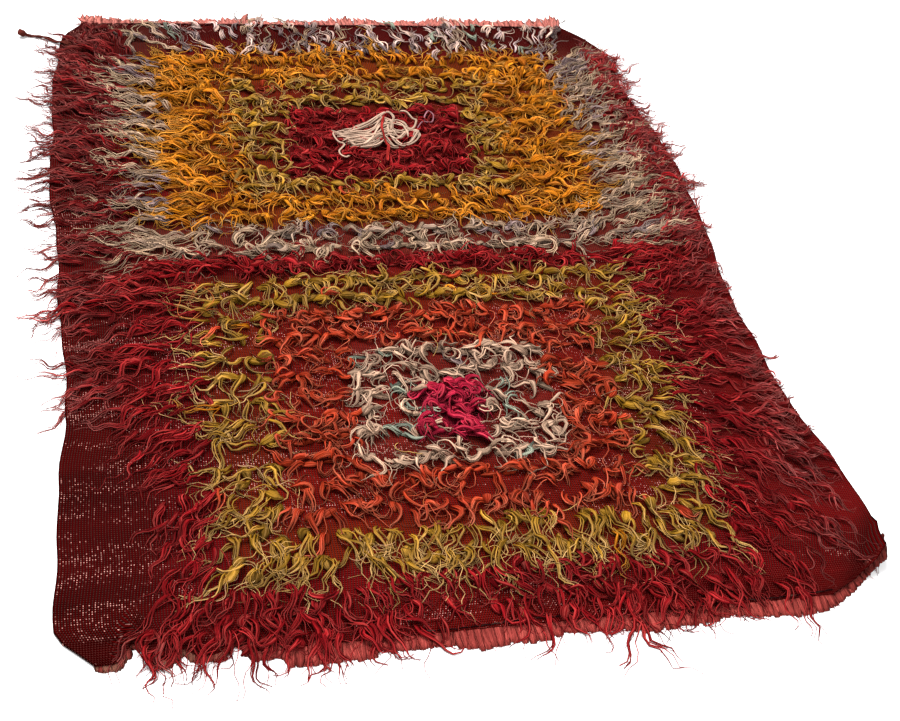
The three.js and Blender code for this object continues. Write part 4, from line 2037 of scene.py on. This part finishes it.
@dataclass
class LaidYarns:
    """The hank of cream yarn on the upper field, the yarns beside it and many loose pale threads.

    Attributes:
        rng: The seeded source of chance.
        laid: How high the pile lies.
        steps: Points on a yarn.
        spread: How far apart yarns of one route lie.
        threads: How many loose threads there are.
        thread_colours: What they are dyed to.
        thread_radius: Of a loose thread.
        thread_lengths: Shortest and longest loose thread.
        strewn: Half the width and length that they lie over.
        stacking: How much higher each copy of a yarn lies than the one before.
    """

    rng: np.random.Generator
    laid: HeightMap
    steps: int = 48
    spread: float = 3.4
    threads: int = 36
    thread_colours: tuple[Colour, ...] = ((222, 176, 104), (206, 112, 60), (214, 164, 124))
    thread_radius: float = 0.7
    thread_lengths: Span = (50, 140)
    strewn: Span = (430, 640)
    stacking: float = 0.8

    def yarn(self, yarn: Yarn) -> Strands:
        """Makes the copies of one yarn: its route, shifted and swollen a little by chance.

        Args:
            yarn: The yarn.

        Returns:
            Its copies, laid on the pile.
        """
        rng = self.rng
        line = through(np.array(yarn.route, float), self.steps)
        middle = line.mean(axis=0)
        size = rng.normal(1.0, 0.04, (yarn.copies, 1, 2))
        shift = rng.normal(0.0, self.spread, (yarn.copies, 1, 2)) * (yarn.copies > 1)
        plan = middle + (line - middle) * size + shift
        raised = yarn.layer + np.arange(yarn.copies)[:, None] * self.stacking
        way = np.linspace(0, 1, self.steps)[None, :]
        ends = np.clip(np.minimum(way, 1 - way) * 14 + 0.4, 0, 1)
        radii = yarn.radius * ends * rng.uniform(0.8, 1.1, (yarn.copies, 1))
        radii = radii * (1.0 + yarn.knot * np.exp(-((way / 0.1) ** 2)))
        height = eased(self.laid.under(plan), 6) + radii + raised + 1.2 * np.sin(way * 17.0 + shift[..., 0])
        # Painted shade: the lower a yarn lies in the hank, the darker it is.
        light = np.exp(rng.normal(0, 0.16, (yarn.copies, 1))) * (0.62 + 0.07 * np.minimum(raised, 5.0))
        colours = linear(yarn.colour) * np.broadcast_to(light, radii.shape)[..., None]
        return Strands(np.dstack([plan, height]), radii, np.full(yarn.copies, 0.85), colours)

    def loose(self) -> Strands:
        """Makes the loose threads: each leaves a chance place in a chance direction and wavers.

        Returns:
            The threads, laid on the pile.
        """
        rng = self.rng
        row = (self.threads, 1)
        way = np.linspace(0, 1, self.steps)[None, :]
        step = rng.uniform(*self.thread_lengths, row) / self.steps
        heading = rng.uniform(0, FULL_TURN, row) + rng.normal(0, 1.3, row) * way
        heading = heading + 0.7 * np.sin(way * rng.uniform(5, 12, row) + rng.uniform(0, 6, row))
        half_across, half_along = self.strewn
        x = rng.uniform(-half_across, half_across, row) + np.cumsum(np.cos(heading), axis=1) * step
        y = rng.uniform(-half_along, half_along, row) + np.cumsum(np.sin(heading), axis=1) * step
        plan = np.stack([x, y], axis=2)
        radii = np.full(x.shape, self.thread_radius) * rng.uniform(0.7, 1.2, row)
        height = eased(self.laid.under(plan), 8) + 1.5
        dyes = np.array([linear(c) for c in self.thread_colours])
        colours = np.repeat(dyes[rng.integers(0, len(dyes), self.threads)][:, None, :], self.steps, axis=1)
        return Strands(np.dstack([plan, height]), radii, np.ones(self.threads), colours)

    def build(self) -> bpy.types.Object:
        """Joins all of them into one piece."""
        groups = [(self.yarn(yarn), MAT_SIDES) for yarn in YARNS] + [(self.loose(), FINE_SIDES)]
        finish = WoolFinish("wool_yarn", mottle=1.6, fibre_scale=0.5)
        piece = strand_piece("laid_yarns", groups, finish.material())
        return piece


@dataclass(frozen=True)
class Lamp:
    """A broad lamp turned to the rug: its place and side in metres, and its power in watts."""

    name: str
    place: tuple[float, float, float]
    side: float
    power: float

    def hang(self) -> None:
        """Adds the lamp to the scene."""
        lamp = bpy.data.lights.new(self.name, "AREA")
        lamp.size = self.side
        lamp.energy = self.power
        made = bpy.data.objects.new(self.name, lamp)
        made.location = self.place
        made.rotation_euler = (-Vector(self.place)).to_track_quat("-Z", "Y").to_euler()
        bpy.context.scene.collection.objects.link(made)


LAMPS = (
    Lamp("key", (-1.2, 2.0, 4.4), 2.6, 500.0),
    Lamp("fill", (2.2, -2.4, 4.0), 3.0, 120.0),
)


@dataclass(frozen=True)
class Studio:
    """The pale floor, the soft lights and the camera.

    Attributes:
        stand: Where the camera stands, in metres.
        aim: The point on the floor that it looks at.
        roll: How far it is turned about its own view, in degrees.
        lens: Focal length in millimetres.
        film: Width of the film in millimetres.
        floor_half: Half the floor's side, in metres.
        floor_tone: The floor's brightness.
        room_light: Strength of the white light from all round.
    """

    stand: tuple[float, float, float] = (-0.4589, -1.6814, 1.5159)
    aim: tuple[float, float, float] = (0.0322, -0.2317, 0.0)
    roll: float = 10.54
    lens: float = 53.55
    film: float = 36.0
    floor_half: float = 8.0
    floor_tone: float = 0.88
    room_light: float = 0.75

    def floor(self) -> None:
        """Lays a plain pale floor under everything."""
        mesh = bpy.data.meshes.new("floor")
        half = self.floor_half
        corners = [(-half, -half, 0), (half, -half, 0), (half, half, 0), (-half, half, 0)]
        mesh.from_pydata(corners, [], [(0, 1, 2, 3)])
        tone = self.floor_tone
        finish = NodeDesk("pale_floor").finish(
            Base_Color=(tone, tone, tone, 1.0), Roughness=0.9, Specular_IOR_Level=0.1
        )
        mesh.materials.append(finish)
        floor = bpy.data.objects.new("floor", mesh)
        bpy.context.scene.collection.objects.link(floor)

    def lights(self) -> None:
        """Hangs one broad lamp high over the far left and a weaker one over the near right."""
        for lamp in LAMPS:
            lamp.hang()
        world = bpy.data.worlds.new("soft_room")
        world.use_nodes = True
        background = world.node_tree.nodes["Background"]
        background.inputs["Color"].default_value = (1.0, 1.0, 1.0, 1.0)
        background.inputs["Strength"].default_value = self.room_light
        bpy.context.scene.world = world
        bpy.context.scene.view_settings.view_transform = "Standard"

    def camera(self) -> None:
        """Stands the camera at the photograph's angle."""
        data = bpy.data.cameras.new("camera")
        data.lens = self.lens
        data.sensor_fit = "HORIZONTAL"
        data.sensor_width = self.film
        made = bpy.data.objects.new("camera", data)
        view = (Vector(self.aim) - Vector(self.stand)).to_track_quat("-Z", "Y").to_matrix().to_4x4()
        rolled = view @ Matrix.Rotation(math.radians(self.roll), 4, "Z")
        made.matrix_world = Matrix.Translation(self.stand) @ rolled
        bpy.context.scene.collection.objects.link(made)
        bpy.context.scene.camera = made


def main() -> None:
    """Builds the rug piece by piece and sets up the view."""
    logging.basicConfig(level=logging.INFO, format="%(name)s: %(message)s")
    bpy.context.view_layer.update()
    rng = np.random.default_rng(SEED)
    plan = RugPlan()
    ground = Ground(plan).build(WeaveFinish("maroon_weave").material())
    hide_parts("rug")
    locks = Pile(plan, rng)
    pile = locks.build()
    far = Fringe(
        plan, rng, "fringe_far", FAR_FRINGE, tears=False, colour=(192, 112, 101), ragged=0.2, taper=0.85
    )
    near = Fringe(
        plan, rng, "fringe_near", NEAR_FRINGE, tears=True, colour=(160, 64, 58), ragged=0.07, taper=0.45
    )
    fringes = [far.build(), near.build()]
    yarn = LaidYarns(rng, locks.laid).build()
    stitching = EndStitching(plan, rng).build()
    studio = Studio()
    studio.floor()
    studio.lights()
    studio.camera()


if __name__ == "__main__":
    main()
